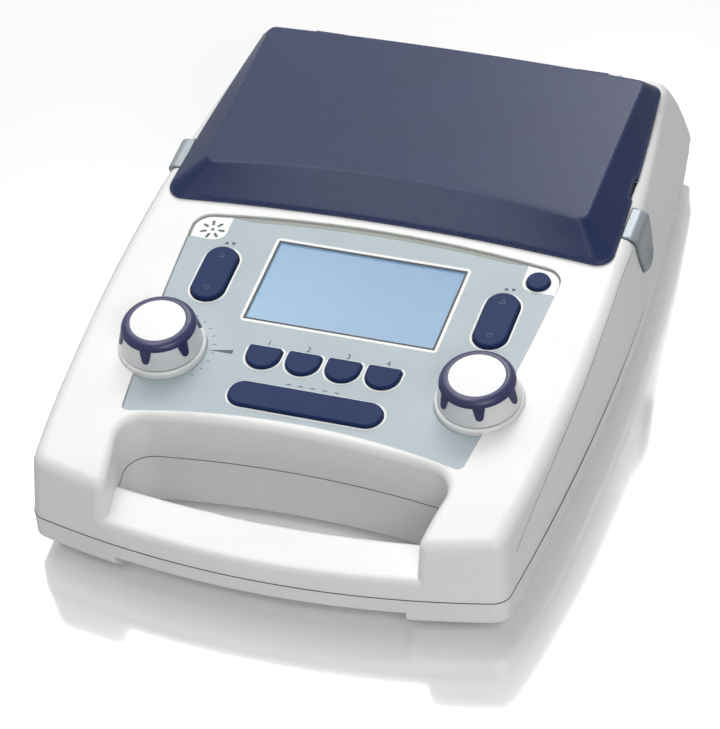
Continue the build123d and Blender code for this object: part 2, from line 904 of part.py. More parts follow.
board_foot_w = board_w - board_thick
with BuildPart() as control_board:
    with BuildSketch(panel.offset(board_foot_w)):
        with Locations((0.0, board_v)):
            RectangleRounded(board_width, board_height, mat_corner)
        for u, v in board_boss_places:
            with Locations((u, v), (-u, v)):
                Circle(board_screw_radius, mode=Mode.SUBTRACT)
    extrude(amount=board_thick)
    with BuildSketch(panel.offset(board_foot_w)):
        with Locations((0.0, board_v)):
            Rectangle(header_width, header_depth)
    extrude(amount=-header_height)
    with BuildSketch(panel.offset(board_foot_w)):
        with GridLocations(2 * dial_u - encoder_width, board_height / 2, 2, 2):
            Rectangle(chip_size, chip_size)
    extrude(amount=-chip_height)
control_board.part.label = "control_board"
export_step(control_board.part, "parts/control_board.step")


with BuildPart() as board_screws:
    with BuildSketch(panel.offset(board_foot_w)):
        for u, v in board_boss_places:
            with Locations((u, v), (-u, v)):
                Circle(board_screw_head)
    extrude(amount=-board_thick)
    with BuildSketch(panel.offset(board_foot_w)):
        for u, v in board_boss_places:
            with Locations((u, v), (-u, v)):
                Circle(board_screw_radius)
    extrude(amount=board_thick)
board_screws.part.label = "board_screws"
export_step(board_screws.part, "parts/board_screws.step")


main_top_z = main_z + board_thick
header_y = side_point(board_v, board_foot_w)[0]
with BuildPart() as main_board:
    with BuildSketch(Plane.XY.offset(main_z)):
        with Locations((0.0, main_y)):
            RectangleRounded(main_width, main_depth, mat_corner)
            with GridLocations(main_boss_width, main_boss_depth, 2, 2):
                Circle(board_screw_radius, mode=Mode.SUBTRACT)
    extrude(amount=board_thick)
    with BuildSketch(Plane.XY.offset(main_top_z)):
        with Locations((0.0, header_y)):
            Rectangle(header_width, header_depth)
    extrude(amount=header_height)
    with BuildSketch(Plane.XY.offset(main_top_z)):
        with Locations((-power_u, main_y)):
            with GridLocations(2 * chip_size, 2 * chip_size, 2, 2):
                Rectangle(chip_size, chip_size)
    extrude(amount=chip_height)
main_board.part.label = "main_board"
export_step(main_board.part, "parts/main_board.step")


with BuildPart() as main_board_screws:
    with BuildSketch(Plane.XY.offset(main_top_z)):
        with Locations((0.0, main_y)):
            with GridLocations(main_boss_width, main_boss_depth, 2, 2):
                Circle(board_screw_head)
    extrude(amount=board_thick)
    with BuildSketch(Plane.XY.offset(main_top_z)):
        with Locations((0.0, main_y)):
            with GridLocations(main_boss_width, main_boss_depth, 2, 2):
                Circle(board_screw_radius)
    extrude(amount=-(main_top_z - foot_z - wall))
main_board_screws.part.label = "main_board_screws"
export_step(main_board_screws.part, "parts/main_board_screws.step")


with BuildPart() as power_module:
    with BuildSketch(Plane.XY.offset(main_top_z)):
        with Locations((power_u, main_y)):
            RectangleRounded(power_width, power_depth, collar_round)
    extrude(amount=power_height)
    with BuildSketch(Plane.XY.offset(main_top_z + power_height)):
        with Locations((power_u, main_y)):
            with GridLocations(power_rib_pitch, power_depth, power_ribs, 1):
                Rectangle(power_rib_width, power_depth - 2 * power_rib_width)
    extrude(amount=power_rib_height)
power_module.part.label = "power_module"
export_step(power_module.part, "parts/power_module.step")


with BuildPart() as ribbon_cable:
    with BuildSketch(Plane.XY.offset(main_top_z + header_height)):
        with Locations((0.0, header_y)):
            Rectangle(ribbon_width, ribbon_thick)
    extrude(amount=overrun)
    split(bisect_by=panel.offset(board_foot_w - header_height), keep=Keep.BOTTOM)
ribbon_cable.part.label = "ribbon_cable"
export_step(ribbon_cable.part, "parts/ribbon_cable.step")


speaker_top_w = deck_w
with BuildPart() as monitor_speaker:
    with BuildSketch(panel.offset(speaker_top_w)):
        with Locations((speaker_u, speaker_v)):
            Circle(speaker_radius)
    extrude(amount=-speaker_rim)
    with BuildSketch(panel.offset(speaker_top_w - speaker_rim)):
        with Locations((speaker_u, speaker_v)):
            Circle(speaker_radius - speaker_rim)
    with BuildSketch(panel.offset(speaker_top_w - speaker_depth)):
        with Locations((speaker_u, speaker_v)):
            Circle(speaker_magnet_radius)
    loft(ruled=True)
monitor_speaker.part.label = "monitor_speaker"
export_step(monitor_speaker.part, "parts/monitor_speaker.step")


def dial_plane(place):
    """Upright plane through a dial's axis, with the axis as its own y."""
    u, v = place
    return Plane(origin=panel.from_local_coords((u, v, 0)), x_dir=(1, 0, 0), z_dir=-panel.y_dir)


def dial_axis(place):
    """A dial's own axis, square to the panel."""
    u, v = place
    return Axis(panel.from_local_coords((u, v, 0)), panel.z_dir)


def skirt_radius(w):
    """Outer radius of the dial's skirt at one height."""
    share = (w - skirt_foot_w) / (skirt_top_w - skirt_foot_w)
    return skirt_foot_radius + share * (skirt_top_radius - skirt_foot_radius)


def dial_tooth(place, bearing):
    """One tooth of a dial's grip, lying on the skirt."""
    axis = dial_axis(place)
    out = panel.x_dir.rotate(Axis((0, 0, 0), panel.z_dir), bearing)
    with BuildPart() as tooth:
        with BuildSketch(dial_plane(place)):
            with BuildLine():
                Polyline(
                    (skirt_radius(tooth_tip_w), tooth_tip_w),
                    (skirt_radius(tooth_tip_w) + tooth_proud, tooth_tip_w),
                    (grip_outer_radius, skirt_top_w),
                    (skirt_top_radius, skirt_top_w),
                    close=True,
                )
            make_face()
        revolve(axis=axis)
        with BuildSketch(Plane(origin=axis.position, x_dir=panel.z_dir.cross(out), z_dir=out)):
            with BuildLine():
                Polyline(
                    (-tooth_width / 2, skirt_top_w),
                    (-tooth_width / 2, skirt_top_w - tooth_proud),
                    (-tooth_tip_radius, tooth_tip_w + tooth_tip_radius),
                )
                ThreePointArc(
                    (-tooth_tip_radius, tooth_tip_w + tooth_tip_radius),
                    (0, tooth_tip_w),
                    (tooth_tip_radius, tooth_tip_w + tooth_tip_radius),
                )
                Polyline(
                    (tooth_tip_radius, tooth_tip_w + tooth_tip_radius),
                    (tooth_width / 2, skirt_top_w - tooth_proud),
                    (tooth_width / 2, skirt_top_w),
                    (-tooth_width / 2, skirt_top_w),
                )
            make_face()
        extrude(amount=overrun, mode=Mode.INTERSECT)
    return tooth.part


for side_name, place in dial_places:
    section = dial_plane(place)
    axis = dial_axis(place)

    with BuildPart() as encoder_body:
        with BuildSketch(panel.offset(board_w)):
            with Locations(place):
                Rectangle(encoder_width, encoder_depth)
        extrude(amount=encoder_height)
        with BuildSketch(panel.offset(board_w)):
            with Locations(place):
                Circle(bushing_radius)
        extrude(amount=bushing_w - board_w)
        with BuildSketch(panel.offset(shaft_foot_w)):
            with Locations(place):
                Circle(shaft_radius + shaft_clear)
        extrude(amount=overrun, mode=Mode.SUBTRACT)
    name = f"{side_name}_encoder_body"
    encoder_body.part.label = name
    export_step(encoder_body.part, f"parts/{name}.step")

    with BuildPart() as encoder_shaft:
        with BuildSketch(panel.offset(shaft_foot_w + shaft_clear)):
            with Locations(place):
                Circle(shaft_radius)
        extrude(amount=shaft_top_w - shaft_foot_w - shaft_clear)
    name = f"{side_name}_encoder_shaft"
    encoder_shaft.part.label = name
    export_step(encoder_shaft.part, f"parts/{name}.step")

    with BuildPart() as dial_skirt:
        with BuildSketch(section):
            with BuildLine():
                Polyline(
                    (shaft_radius, skirt_top_w),
                    (skirt_top_radius, skirt_top_w),
                    (skirt_foot_radius, skirt_foot_w),
                    (skirt_foot_radius - skirt_wall, skirt_foot_w),
                    (skirt_top_radius - skirt_wall, skirt_top_w - skirt_wall),
                    (hub_radius, skirt_top_w - skirt_wall),
                    (hub_radius, hub_foot_w),
                    (shaft_radius, hub_foot_w),
                    close=True,
                )
            make_face()
        revolve(axis=axis)
    name = f"{side_name}_dial_skirt"
    dial_skirt.part.label = name
    export_step(dial_skirt.part, f"parts/{name}.step")

    with BuildPart() as dial_grip:
        with BuildSketch(section):
            with BuildLine():
                Polyline(
                    (grip_top_radius, grip_top_w),
                    (cap_radius, grip_top_w),
                    (cap_radius, skirt_top_w),
                    (grip_outer_radius, skirt_top_w),
                )
                ThreePointArc(
                    (grip_outer_radius, skirt_top_w),
                    (
                        grip_outer_radius - (grip_outer_radius - grip_top_radius) * grip_bow_in_share,
                        skirt_top_w + (grip_top_w - skirt_top_w) * grip_bow_up_share,
                    ),
                    (grip_top_radius, grip_top_w),
                )
            make_face()
        revolve(axis=axis)
        first = tooth_turn_right if side_name == "right" else tooth_turn_left
        for step in range(tooth_count):
            add(dial_tooth(place, first + step * full_turn / tooth_count))
    name = f"{side_name}_dial_grip"
    dial_grip.part.label = name
    export_step(dial_grip.part, f"parts/{name}.step")

    crown_w = grip_top_w + cap_crown
    ball = (cap_radius**2 + cap_crown**2) / (2 * cap_crown)
    with BuildPart() as dial_cap:
        with BuildSketch(section):
            with BuildLine():
                Polyline(
                    (0, crown_w),
                    (0, skirt_top_w),
                    (cap_radius, skirt_top_w),
                    (cap_radius, grip_top_w),
                )
                ThreePointArc(
                    (cap_radius, grip_top_w),
                    (cap_radius / 2, crown_w - ball + sqrt(ball**2 - (cap_radius / 2) ** 2)),
                    (0, crown_w),
                )
            make_face()
        revolve(axis=axis)
    name = f"{side_name}_dial_cap"
    dial_cap.part.label = name
    export_step(dial_cap.part, f"parts/{name}.step")


socket_places = [
    (inlet_u - (socket_count + 1 - step) * socket_pitch, socket_w) for step in range(socket_count)
]
with BuildPart() as storage_tray:
    with BuildSketch(panel.offset(frame_w)):
        with Locations((0.0, well_v)):
            RectangleRounded(
                well_width + 2 * tray_flange,
                well_length + 2 * tray_flange,
                well_corner + tray_flange,
            )
    extrude(amount=tray_flange_thick)
    for foot_w, rise, inset, mode in (
        (frame_w - tray_depth, tray_depth, tray_clear, Mode.ADD),
        (frame_w - tray_depth + tray_wall, overrun, tray_clear + tray_wall, Mode.SUBTRACT),
    ):
        with BuildSketch(panel.offset(foot_w)):
            with Locations((0.0, well_v)):
                RectangleRounded(well_width - 2 * inset, well_length - 2 * inset, well_corner - inset)
        extrude(amount=rise, mode=mode)
    with BuildSketch(along(well_v - well_length / 2)):
        with Locations(*socket_places, (inlet_u, socket_w)):
            Circle(socket_bush_radius + socket_clear)
    extrude(amount=-(tray_clear + 2 * tray_wall), mode=Mode.SUBTRACT)
storage_tray.part.label = "storage_tray"
export_step(storage_tray.part, "parts/storage_tray.step")


tray_front_v = well_v - well_length / 2 + tray_clear
tray_inner_v = tray_front_v + tray_wall
for number, (u, w) in enumerate(socket_places):
    with BuildPart() as socket:
        with BuildSketch(along(tray_front_v)):
            with Locations((u, w)):
                Rectangle(socket_width, socket_height)
        extrude(amount=socket_length)
        with BuildSketch(along(tray_front_v)):
            with Locations((u, w)):
                Circle(socket_bush_radius)
        extrude(amount=-(tray_wall + socket_bush_reach))
        with BuildSketch(along(tray_inner_v + socket_bush_reach)):
            with Locations((u, w)):
                Circle(socket_bore_radius)
        extrude(amount=socket_bush_reach + tray_wall + socket_length - socket_back, mode=Mode.SUBTRACT)
    name = f"headset_socket_{number + 1}"
    socket.part.label = name
    export_step(socket.part, f"parts/{name}.step")

with BuildPart() as power_inlet:
    with BuildSketch(along(tray_front_v)):
        with Locations((inlet_u, socket_w)):
            Rectangle(socket_width, socket_height)
    extrude(amount=socket_length)
    with BuildSketch(along(tray_front_v)):
        with Locations((inlet_u, socket_w)):
            Circle(socket_bush_radius)
    extrude(amount=-(tray_wall + socket_bush_reach))
    with BuildSketch(along(tray_inner_v + socket_bush_reach)):
        with Locations((inlet_u, socket_w)):
            Circle(inlet_bore_radius)
            Circle(inlet_pin_radius, mode=Mode.SUBTRACT)
    extrude(amount=socket_length, mode=Mode.SUBTRACT)
power_inlet.part.label = "power_inlet"
export_step(power_inlet.part, "parts/power_inlet.step")


with BuildPart() as socket_nuts:
    with BuildSketch(along(tray_inner_v)):
        with Locations(*socket_places, (inlet_u, socket_w)):
            RegularPolygon(nut_across / 2, 6, major_radius=False)
            Circle(socket_bush_radius, mode=Mode.SUBTRACT)
    extrude(amount=-nut_thick)
socket_nuts.part.label = "socket_nuts"
export_step(socket_nuts.part, "parts/socket_nuts.step")


with BuildPart() as socket_board:
    first_u = socket_places[0][0] - socket_width / 2 - socket_board_side
    last_u = inlet_u + socket_width / 2 + socket_board_side / 2
    with BuildSketch(along(tray_front_v - socket_length)):
        with Locations(((first_u + last_u) / 2, socket_w)):
            RectangleRounded(last_u - first_u, socket_board_height, mat_corner / 2)
    extrude(amount=board_thick)
socket_board.part.label = "socket_board"
export_step(socket_board.part, "parts/socket_board.step")


lid_foot_w = frame_w + lid_gap
lid_shoulder_w = lid_foot_w + lid_skirt
with BuildPart() as lid:
    loft(
        [
            plan(panel.offset(lid_shoulder_w), lid_foot_outline),
            plan(panel.offset(lid_top_w), lid_top_outline),
        ],
        ruled=True,
    )
    extrude(plan(panel.offset(lid_foot_w), lid_foot_outline), amount=lid_skirt)
    creases = [e for e in lid.edges() if abs(off_panel(e @ 0) - off_panel(e @ 1)) < level_slack]
    fillet([e for e in creases if off_panel(e @ 0) > lid_foot_w + joint_gap], lid_crease)
    loft(
        [
            plan(panel.offset(lid_foot_w), grown(lid_foot_outline, -lid_wall)),
            plan(panel.offset(lid_top_w - lid_wall), grown(lid_top_outline, -lid_top_inset)),
        ],
        ruled=True,
        mode=Mode.SUBTRACT,
    )
    # Ribs inside the top, and the notch that lets the cables out
    with BuildSketch(panel.offset(lid_top_w - lid_wall)):
        with Locations((0.0, (lid_top_outline.front + lid_top_outline.rear) / 2)):
            with GridLocations(lid_rib_pitch, lid_rib_length, lid_rib_count, 1):
                Rectangle(lid_rib_thick, lid_rib_length)
    extrude(amount=-lid_rib_height)
    with BuildSketch(across(lid_top_outline.half_rear)):
        with Locations((cable_notch_v, lid_foot_w)):
            Rectangle(cable_notch_length, cable_notch_height, align=(Align.CENTER, Align.MIN))
    extrude(amount=overrun, mode=Mode.SUBTRACT)
    # Knuckles of the hinge, with the room that the case's lugs need
    for _, side in sides:
        for turn in (1, -1):
            inner = side * hinge_u + turn * knuckle_length / 2
            with BuildSketch(across(inner)):
                with Locations((hinge_v - knuckle_radius - lug_clear, lid_foot_w)):
                    Rectangle(
                        overrun,
                        hinge_w - lid_foot_w + knuckle_radius + lug_clear,
                        align=(Align.MIN, Align.MIN),
                    )
            extrude(amount=turn * (lug_length + 2 * lug_gap), mode=Mode.SUBTRACT)
        with BuildSketch(across(side * hinge_u)):
            with Locations((hinge_v, hinge_w)):
                Circle(knuckle_radius)
                Rectangle(knuckle_web, 2 * knuckle_radius, align=(Align.MAX, Align.CENTER))
        extrude(amount=knuckle_length / 2, both=True)
        with BuildSketch(across(side * hinge_u)):
            with Locations((hinge_v, hinge_w)):
                Circle(hinge_pin_radius + hinge_pin_clear)
        extrude(amount=knuckle_length, both=True, mode=Mode.SUBTRACT)
lid.part.label = "lid"
export_step(lid.part, "parts/lid.step")


for side_name, side in sides:
    with BuildPart() as hinge_pin:
        with BuildSketch(across(side * hinge_u)):
            with Locations((hinge_v, hinge_w)):
                Circle(hinge_pin_radius)
        extrude(amount=knuckle_length / 2 + lug_gap + lug_length, both=True)
    name = f"{side_name}_hinge_pin"
    hinge_pin.part.label = name
    export_step(hinge_pin.part, f"parts/{name}.step")


with BuildPart() as lever:
    extrude(latch_plan(latch_leg_u), amount=latch_face_u - latch_leg_u)
    inner_u = latch_face_u - latch_plate
    with BuildSketch(along(latch_front_v - latch_round)):
        with BuildLine():
            Polyline(
                (latch_face_u, frame_w - latch_bend),
                (latch_face_u, latch_tip_w - latch_round),
                (inner_u, latch_tip_w - latch_round),
                (inner_u, frame_w - latch_leg),
                (latch_leg_u, frame_w - latch_leg),
                (latch_leg_u, frame_w),
                (latch_face_u - latch_bend, frame_w),
            )
            TangentArc(
                (latch_face_u - latch_bend, frame_w),
                (latch_face_u, frame_w - latch_bend),
                tangent=(1, 0),
            )
        make_face()
    extrude(amount=-overrun, mode=Mode.INTERSECT)
    face_edges = lever.faces().sort_by(Axis.X)[-1].edges()
    fillet([e for e in face_edges if off_panel(e.center()) < frame_w - latch_bend - joint_gap], latch_round)
    add(latch_barrel(latch_barrel_radius, -latch_round))
    add(latch_barrel(latch_pin_radius + latch_pin_clear, latch_pin_reach + latch_clear), mode=Mode.SUBTRACT)
    # Finger dish
    with Locations(panel.from_local_coords((latch_face_u + scoop_radius - scoop_depth, scoop_v, scoop_w))):
        Sphere(scoop_radius, mode=Mode.SUBTRACT)
lever_mirrored = mirror(lever.part, about=Plane.YZ)
for name, solid in (("right_latch_lever", lever.part), ("left_latch_lever", lever_mirrored)):
    solid.label = name
    export_step(solid, f"parts/{name}.step")


with BuildPart() as latch_pin:
    add(latch_barrel(latch_pin_radius, latch_pin_reach))
latch_pin_mirrored = mirror(latch_pin.part, about=Plane.YZ)
for name, solid in (("right_latch_pin", latch_pin.part), ("left_latch_pin", latch_pin_mirrored)):
    solid.label = name
    export_step(solid, f"parts/{name}.step")
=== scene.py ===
import json
import math

import bmesh
import bpy
from mathutils import Matrix, Vector
from mathutils.bvhtree import BVHTree


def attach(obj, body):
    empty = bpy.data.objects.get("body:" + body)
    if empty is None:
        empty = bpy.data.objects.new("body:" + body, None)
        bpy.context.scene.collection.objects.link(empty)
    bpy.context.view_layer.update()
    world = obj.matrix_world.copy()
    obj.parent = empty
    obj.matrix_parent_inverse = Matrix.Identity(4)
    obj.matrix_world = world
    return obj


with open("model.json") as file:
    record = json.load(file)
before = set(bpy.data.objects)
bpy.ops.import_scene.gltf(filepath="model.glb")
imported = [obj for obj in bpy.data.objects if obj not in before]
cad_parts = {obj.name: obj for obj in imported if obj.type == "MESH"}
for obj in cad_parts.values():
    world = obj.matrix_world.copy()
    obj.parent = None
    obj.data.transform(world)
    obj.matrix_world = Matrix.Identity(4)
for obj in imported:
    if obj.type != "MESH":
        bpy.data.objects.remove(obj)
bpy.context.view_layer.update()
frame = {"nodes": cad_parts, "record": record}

# The panel's own axes, in millimetres: u to the right, v up the slope, w off the panel.
mm = 0.001
panel_tilt = math.radians(6.0)
panel_centre = Vector((0.0, -34.3, 70.7)) * mm
panel_turn = Matrix.Rotation(panel_tilt, 4, "X")
panel_place = Matrix.Translation(panel_centre) @ panel_turn
off_panel = panel_turn @ Vector((0, 0, 1))

# Heights of the printing off the panel, how far the panel's top face may lie from it, the steps and the end of
# a round outline, and how near the two ends of a closed path lie
ink_low = -0.02
ink_high = 0.04
top_within = 0.05
arc_steps = 20
round_steps = 48
round_end = 354
closing_gap = 0.02

# The display window, with its black border, its white bezel and the lit module under it
window_half_u = 48.5
window_half_v = 27.2
window_gap = 0.05
border_width = 1.0
border_corners = (0.2, 0.3)
bezel_width = 1.7
bezel_corners = (2.4, 0.1)
module_top_w = -1.3
lit_margin = 0.4
lit_corner = 0.3
lit_rise = (-0.01, 0.12)

# The keys and dials: places on the panel, sizes, and the gap between each key and its white outline
outline_width = 1.15
rocker_places = {"left": (-71.9, -2.5), "right": (71.9, -2.5)}
rocker_size = (36.0, 16.4)
rocker_hole = 0.7
rocker_top_w = 2.4
function_v = -49.3
function_pitch = 20.05
function_count = 4
function_places_u = [(step - (function_count - 1) / 2) * function_pitch for step in range(function_count)]
function_radius = 8.4
function_flat = 5.3
function_corner = 1.6
key_hole = 0.4
tone_place = (0.0, -75.1)
tone_size = (76.8, 15.2)
round_place = (83.9, 27.3)
round_radius = 5.75
dial_places = {"left": (-79.7, -54.5), "right": (79.7, -54.5)}
# Rings of painted shade under the dials' skirts: their radii and their heights off the panel.
dial_gap_radii = (19.9, 18.6)
dial_gap_w = (3.45, 3.85)

# The white fields in the panel's rear corners, the darker rim round them, printed between them and painted shade
# round the corners, and the speaker's slots in the left one
field_edge_u = 76.0
field_foot_v = 20.4
field_corner = 6.5
field_overlap = 1.0
band_height = 3.3
band_taper = 0.6
rim_shade_width = 0.95
rim_shade_least_share = 0.25
speaker_place = (-83.9, 27.3)
slot_ring_radius = 4.6
slot_count = 7
slot_size = (3.4, 1.4)
slot_centre_radius = 0.9
slot_centre_end = 342

# Figures, arrows and ticks beside the controls
figure_v = -40.4
figure_height = 4.6
arrow_shares = (0.6, 0.45, 0.55)
arrow_size = 2.1
arrow_apart = 1.7
arrow_beyond = 4.4
rocker_arrow_sizes = (3.4, 2.0)
rocker_arrow_v = 11.5
rocker_arrow_rise = (-0.05, 0.1)
level_ramp = [(-57.5, -51.3), (-45.5, -51.3), (-45.5, -48.7)]
dial_tick_radius = 25.0
dial_tick_count = 11
dial_tick_start = {"left": -35.0, "right": 25.0}
dial_tick_span = 130.0
dial_tick_limit_u = 82.0
dial_tick_size = (1.6, 0.35)
tone_tick_count = 5
tone_tick_pitch = 6.0
tone_tick_v = 10.9
tone_tick_size = (2.4, 0.5)

# Case lines: heights of the seams, and the side grooves as (v, w)
seam_z = 24.0
sleeve_z = 33.0
section_drop = 0.3
grip_seam_reach = (0.1, 0.2)
line_radius = 0.24
groove_radius = line_radius * 0.8
side_groove = (
    (62.0, -3.5), (52.0, -2.8), (40.0, -2.0), (13.0, -2.2), (0.0, -2.4), (-40.0, -4.0), (-69.0, -5.8),
    (-81.0, -7.6), (-94.0, -8.9), (-108.0, -11.1), (-119.0, -13.7), (-127.0, -15.9),
)
groove_steps = 6
outside_u = 160.0

# The side latches: mark, finger dish, painted shade in the gap round the lever, and boss behind the pin, as (v, w)
latch_face_u = 122.6
latch_mark = (81.0, -20.5)
latch_mark_size = 2.6
latch_mark_rise = (-0.05, 0.08)
latch_dish = (84.0, -28.0)
latch_dish_half = (5.0, 6.2)
latch_gap_u = 119.6
latch_gap = 0.46
latch_gap_radius = 0.3
latch_gap_w = (-32.0, -5.5)
pin_place = (118.2, -13.0)
pin_boss_v = (90.2, 93.9)
pin_boss_radius = 1.4
pin_boss_sides = 24

# The underside's screws and feet, in the row frame, with painted shade in the screws' cross recesses, and the dark
# plate of painted shade on the case's frame under the lid's cable notch, on the panel's axes
screw_places = ((100.0, -141.0), (106.0, -8.0), (92.0, 140.0))
screw_head_z = 9.8
recess_arm = 3.2
recess_width = 0.8
recess_rise = (-0.03, 0.1)
foot_places = ((90.0, -160.0), (88.0, 161.0))
foot_ring_radii = (6.4, 4.6, 2.8)
foot_ring_thick = 0.12
foot_ring_steps = 32
cable_notch_shade = ((99.0, 90.5), (112.0, 90.5), (112.0, 103.5), (99.0, 103.5))
cable_notch_shade_w = (1.15, 1.32)

# The accessory tray's sockets, in a row in its front wall
socket_w = -28.0
socket_wall_v = 68.6
socket_u = (-52.0, -26.0, 0.0, 26.0)
socket_ring = (7.6, 6.2)
socket_ring_end = 352
socket_ring_rise = (-0.3, 0.05)


def on_panel(u, v, w=0.0):
    """A point given on the panel's axes, in the row frame and in metres."""
    return panel_place @ (Vector((u, v, w)) * mm)


def panel_coords(point):
    """The panel's u, v and w of a point of the row frame, in millimetres."""
    return panel_place.inverted() @ Vector(point) / mm


# Materials

def srgb(*levels):
    """A colour written as red, green and blue in 0 to 255, as the shader's linear value."""
    shares = [level / 255 for level in levels]
    return tuple(c / 12.92 if c <= 0.04045 else ((c + 0.055) / 1.055) ** 2.4 for c in shares) + (1.0,)


def add_node(tree, kind, inputs=None, **settings):
    """A node with its settings; each input is a value or the socket that feeds it."""
    node = tree.nodes.new(kind)
    for key, value in settings.items():
        setattr(node, key, value)
    for key, value in (inputs or {}).items():
        socket = node.inputs[key]
        if isinstance(value, bpy.types.NodeSocket):
            tree.links.new(value, socket)
        else:
            socket.default_value = value
    return node


def blended(tree, share, first, second):
    """The colour between two, by a share."""
    node = add_node(tree, "ShaderNodeMix", {0: share, 6: first, 7: second}, data_type="RGBA")
    return node.outputs[2]


def ranged(tree, value, low, high, to_low, to_high):
    """A value taken from one range to another, and held there."""
    node = add_node(
        tree,
        "ShaderNodeMapRange",
        {"Value": value, "From Min": low, "From Max": high, "To Min": to_low, "To Max": to_high},
    )
    return node.outputs["Result"]


def maths(tree, operation, first, second=0.0):
    """One arithmetic step."""
    node = add_node(tree, "ShaderNodeMath", {0: first, 1: second}, operation=operation)
    return node.outputs[0]


def effect_group(name, inputs, outputs):
    """An empty shader group with named sockets, and its two ends."""
    tree = bpy.data.node_groups.new(name, "ShaderNodeTree")
    for label, value in inputs.items():
        socket = tree.interface.new_socket(label, in_out="INPUT", socket_type="NodeSocketFloat")
        socket.default_value = value
    for label, kind in outputs.items():
        tree.interface.new_socket(label, in_out="OUTPUT", socket_type=kind)
    return tree, tree.nodes.new("NodeGroupInput"), tree.nodes.new("NodeGroupOutput")


def moulded_grain():
    """Fine spark-eroded grain of a moulded skin, with slow changes of tone."""
    tree, given, result = effect_group(
        "moulded_grain",
        {"Grain Scale": 2600.0, "Cloud Scale": 28.0},
        {"Height": "NodeSocketFloat", "Tone": "NodeSocketFloat", "Speck": "NodeSocketFloat"},
    )
    place = add_node(tree, "ShaderNodeTexCoord").outputs["Object"]
    fine = add_node(
        tree, "ShaderNodeTexNoise",
        {"Vector": place, "Scale": given.outputs["Grain Scale"], "Detail": 3.0, "Roughness": 0.6},
    )
    cells = add_node(
        tree, "ShaderNodeTexVoronoi",
        {"Vector": place, "Scale": given.outputs["Grain Scale"]},
    )
    slow = add_node(
        tree, "ShaderNodeTexNoise",
        {"Vector": place, "Scale": given.outputs["Cloud Scale"], "Detail": 4.0, "Roughness": 0.55},
    )
    height = maths(tree, "ADD", fine.outputs["Fac"], maths(tree, "MULTIPLY", cells.outputs["Distance"], 0.6))
    tree.links.new(height, result.inputs["Height"])
    tree.links.new(ranged(tree, slow.outputs["Fac"], 0.3, 0.7, 0.0, 1.0), result.inputs["Tone"])
    tree.links.new(ranged(tree, fine.outputs["Fac"], 0.4, 0.62, 0.0, 1.0), result.inputs["Speck"])
    return tree


def edge_wear():
    """Where a rounded copy of the surface leaves the real one: a mask of the edges, and soft normals; lighter colour
    along this mask is partly wear and partly painted highlight.
    """
    tree, given, result = effect_group(
        "edge_wear",
        {"Radius": 0.0006, "Break Up": 220.0, "First": 0.995, "Full": 0.86},
        {"Mask": "NodeSocketFloat", "Normal": "NodeSocketVector"},
    )
    soft = add_node(tree, "ShaderNodeBevel", {"Radius": given.outputs["Radius"]}, samples=6)
    true = add_node(tree, "ShaderNodeNewGeometry")
    along = add_node(
        tree, "ShaderNodeVectorMath", {0: soft.outputs[0], 1: true.outputs["Normal"]}, operation="DOT_PRODUCT"
    )
    patch = add_node(
        tree, "ShaderNodeTexNoise",
        {
            "Vector": add_node(tree, "ShaderNodeTexCoord").outputs["Object"],
            "Scale": given.outputs["Break Up"],
            "Detail": 3.0,
        },
    )
    edge = ranged(tree, along.outputs["Value"], given.outputs["First"], given.outputs["Full"], 0.0, 1.0)
    wear_and_highlight_mask = maths(tree, "MULTIPLY", edge, ranged(tree, patch.outputs["Fac"], 0.35, 0.65, 0.25, 1.0))
    tree.links.new(wear_and_highlight_mask, result.inputs["Mask"])
    tree.links.new(soft.outputs[0], result.inputs["Normal"])
    return tree


grain_effect = moulded_grain()
wear_and_highlight_effect = edge_wear()
# Edge mask settings for creases: narrowed to the lid's creases, where its lighter colour is a painted highlight.
crease_highlight = {"First": 0.9985, "Full": 0.975, "Break Up": 1500.0}
coat_roughness = 0.1


def new_material(name):
    """A material with one Principled shader, its tree and that shader."""
    material = bpy.data.materials.new(name)
    material.use_nodes = True
    return material, material.node_tree, material.node_tree.nodes["Principled BSDF"]


def moulded(name, colour, shade, rough, grain=2600.0, depth=0.00002, edge=None, edge_share=0.35,
            radius=0.0006, metal=0.0, specular=0.5, coat=0.0, speck=0.0, crease=False):
    """A moulded or painted finish: its colour and cloudy second tone, grain, lighter edges that are partly wear and
    partly painted highlight, and a painted highlight along creases.
    """
    material, tree, shader = new_material(name)
    skin = add_node(tree, "ShaderNodeGroup", node_tree=grain_effect)
    skin.inputs["Grain Scale"].default_value = grain
    wear_and_highlight = add_node(tree, "ShaderNodeGroup", node_tree=wear_and_highlight_effect)
    wear_and_highlight.inputs["Radius"].default_value = radius
    if crease:
        for label, value in crease_highlight.items():
            wear_and_highlight.inputs[label].default_value = value
    base = blended(tree, skin.outputs["Tone"], colour, shade)
    if speck:
        dotted = maths(tree, "MULTIPLY", skin.outputs["Speck"], speck)
        lighter = tuple(min(1.0, c * 1.6 + 0.01) for c in colour[:3]) + (1.0,)
        base = blended(tree, dotted, base, lighter)
    if edge:
        wear_and_highlight_mask = maths(tree, "MULTIPLY", wear_and_highlight.outputs["Mask"], edge_share)
        base = blended(tree, wear_and_highlight_mask, base, edge)
    tree.links.new(base, shader.inputs["Base Color"])
    uneven = ranged(tree, skin.outputs["Speck"], 0.0, 1.0, rough - 0.05, rough + 0.06)
    tree.links.new(uneven, shader.inputs["Roughness"])
    bump = add_node(
        tree, "ShaderNodeBump",
        {"Strength": 0.5, "Distance": depth, "Height": skin.outputs["Height"], "Normal": wear_and_highlight.outputs["Normal"]},
    )
    tree.links.new(bump.outputs[0], shader.inputs["Normal"])
    shader.inputs["Metallic"].default_value = metal
    shader.inputs["Specular IOR Level"].default_value = specular
    shader.inputs["Coat Weight"].default_value = coat
    shader.inputs["Coat Roughness"].default_value = coat_roughness
    return material


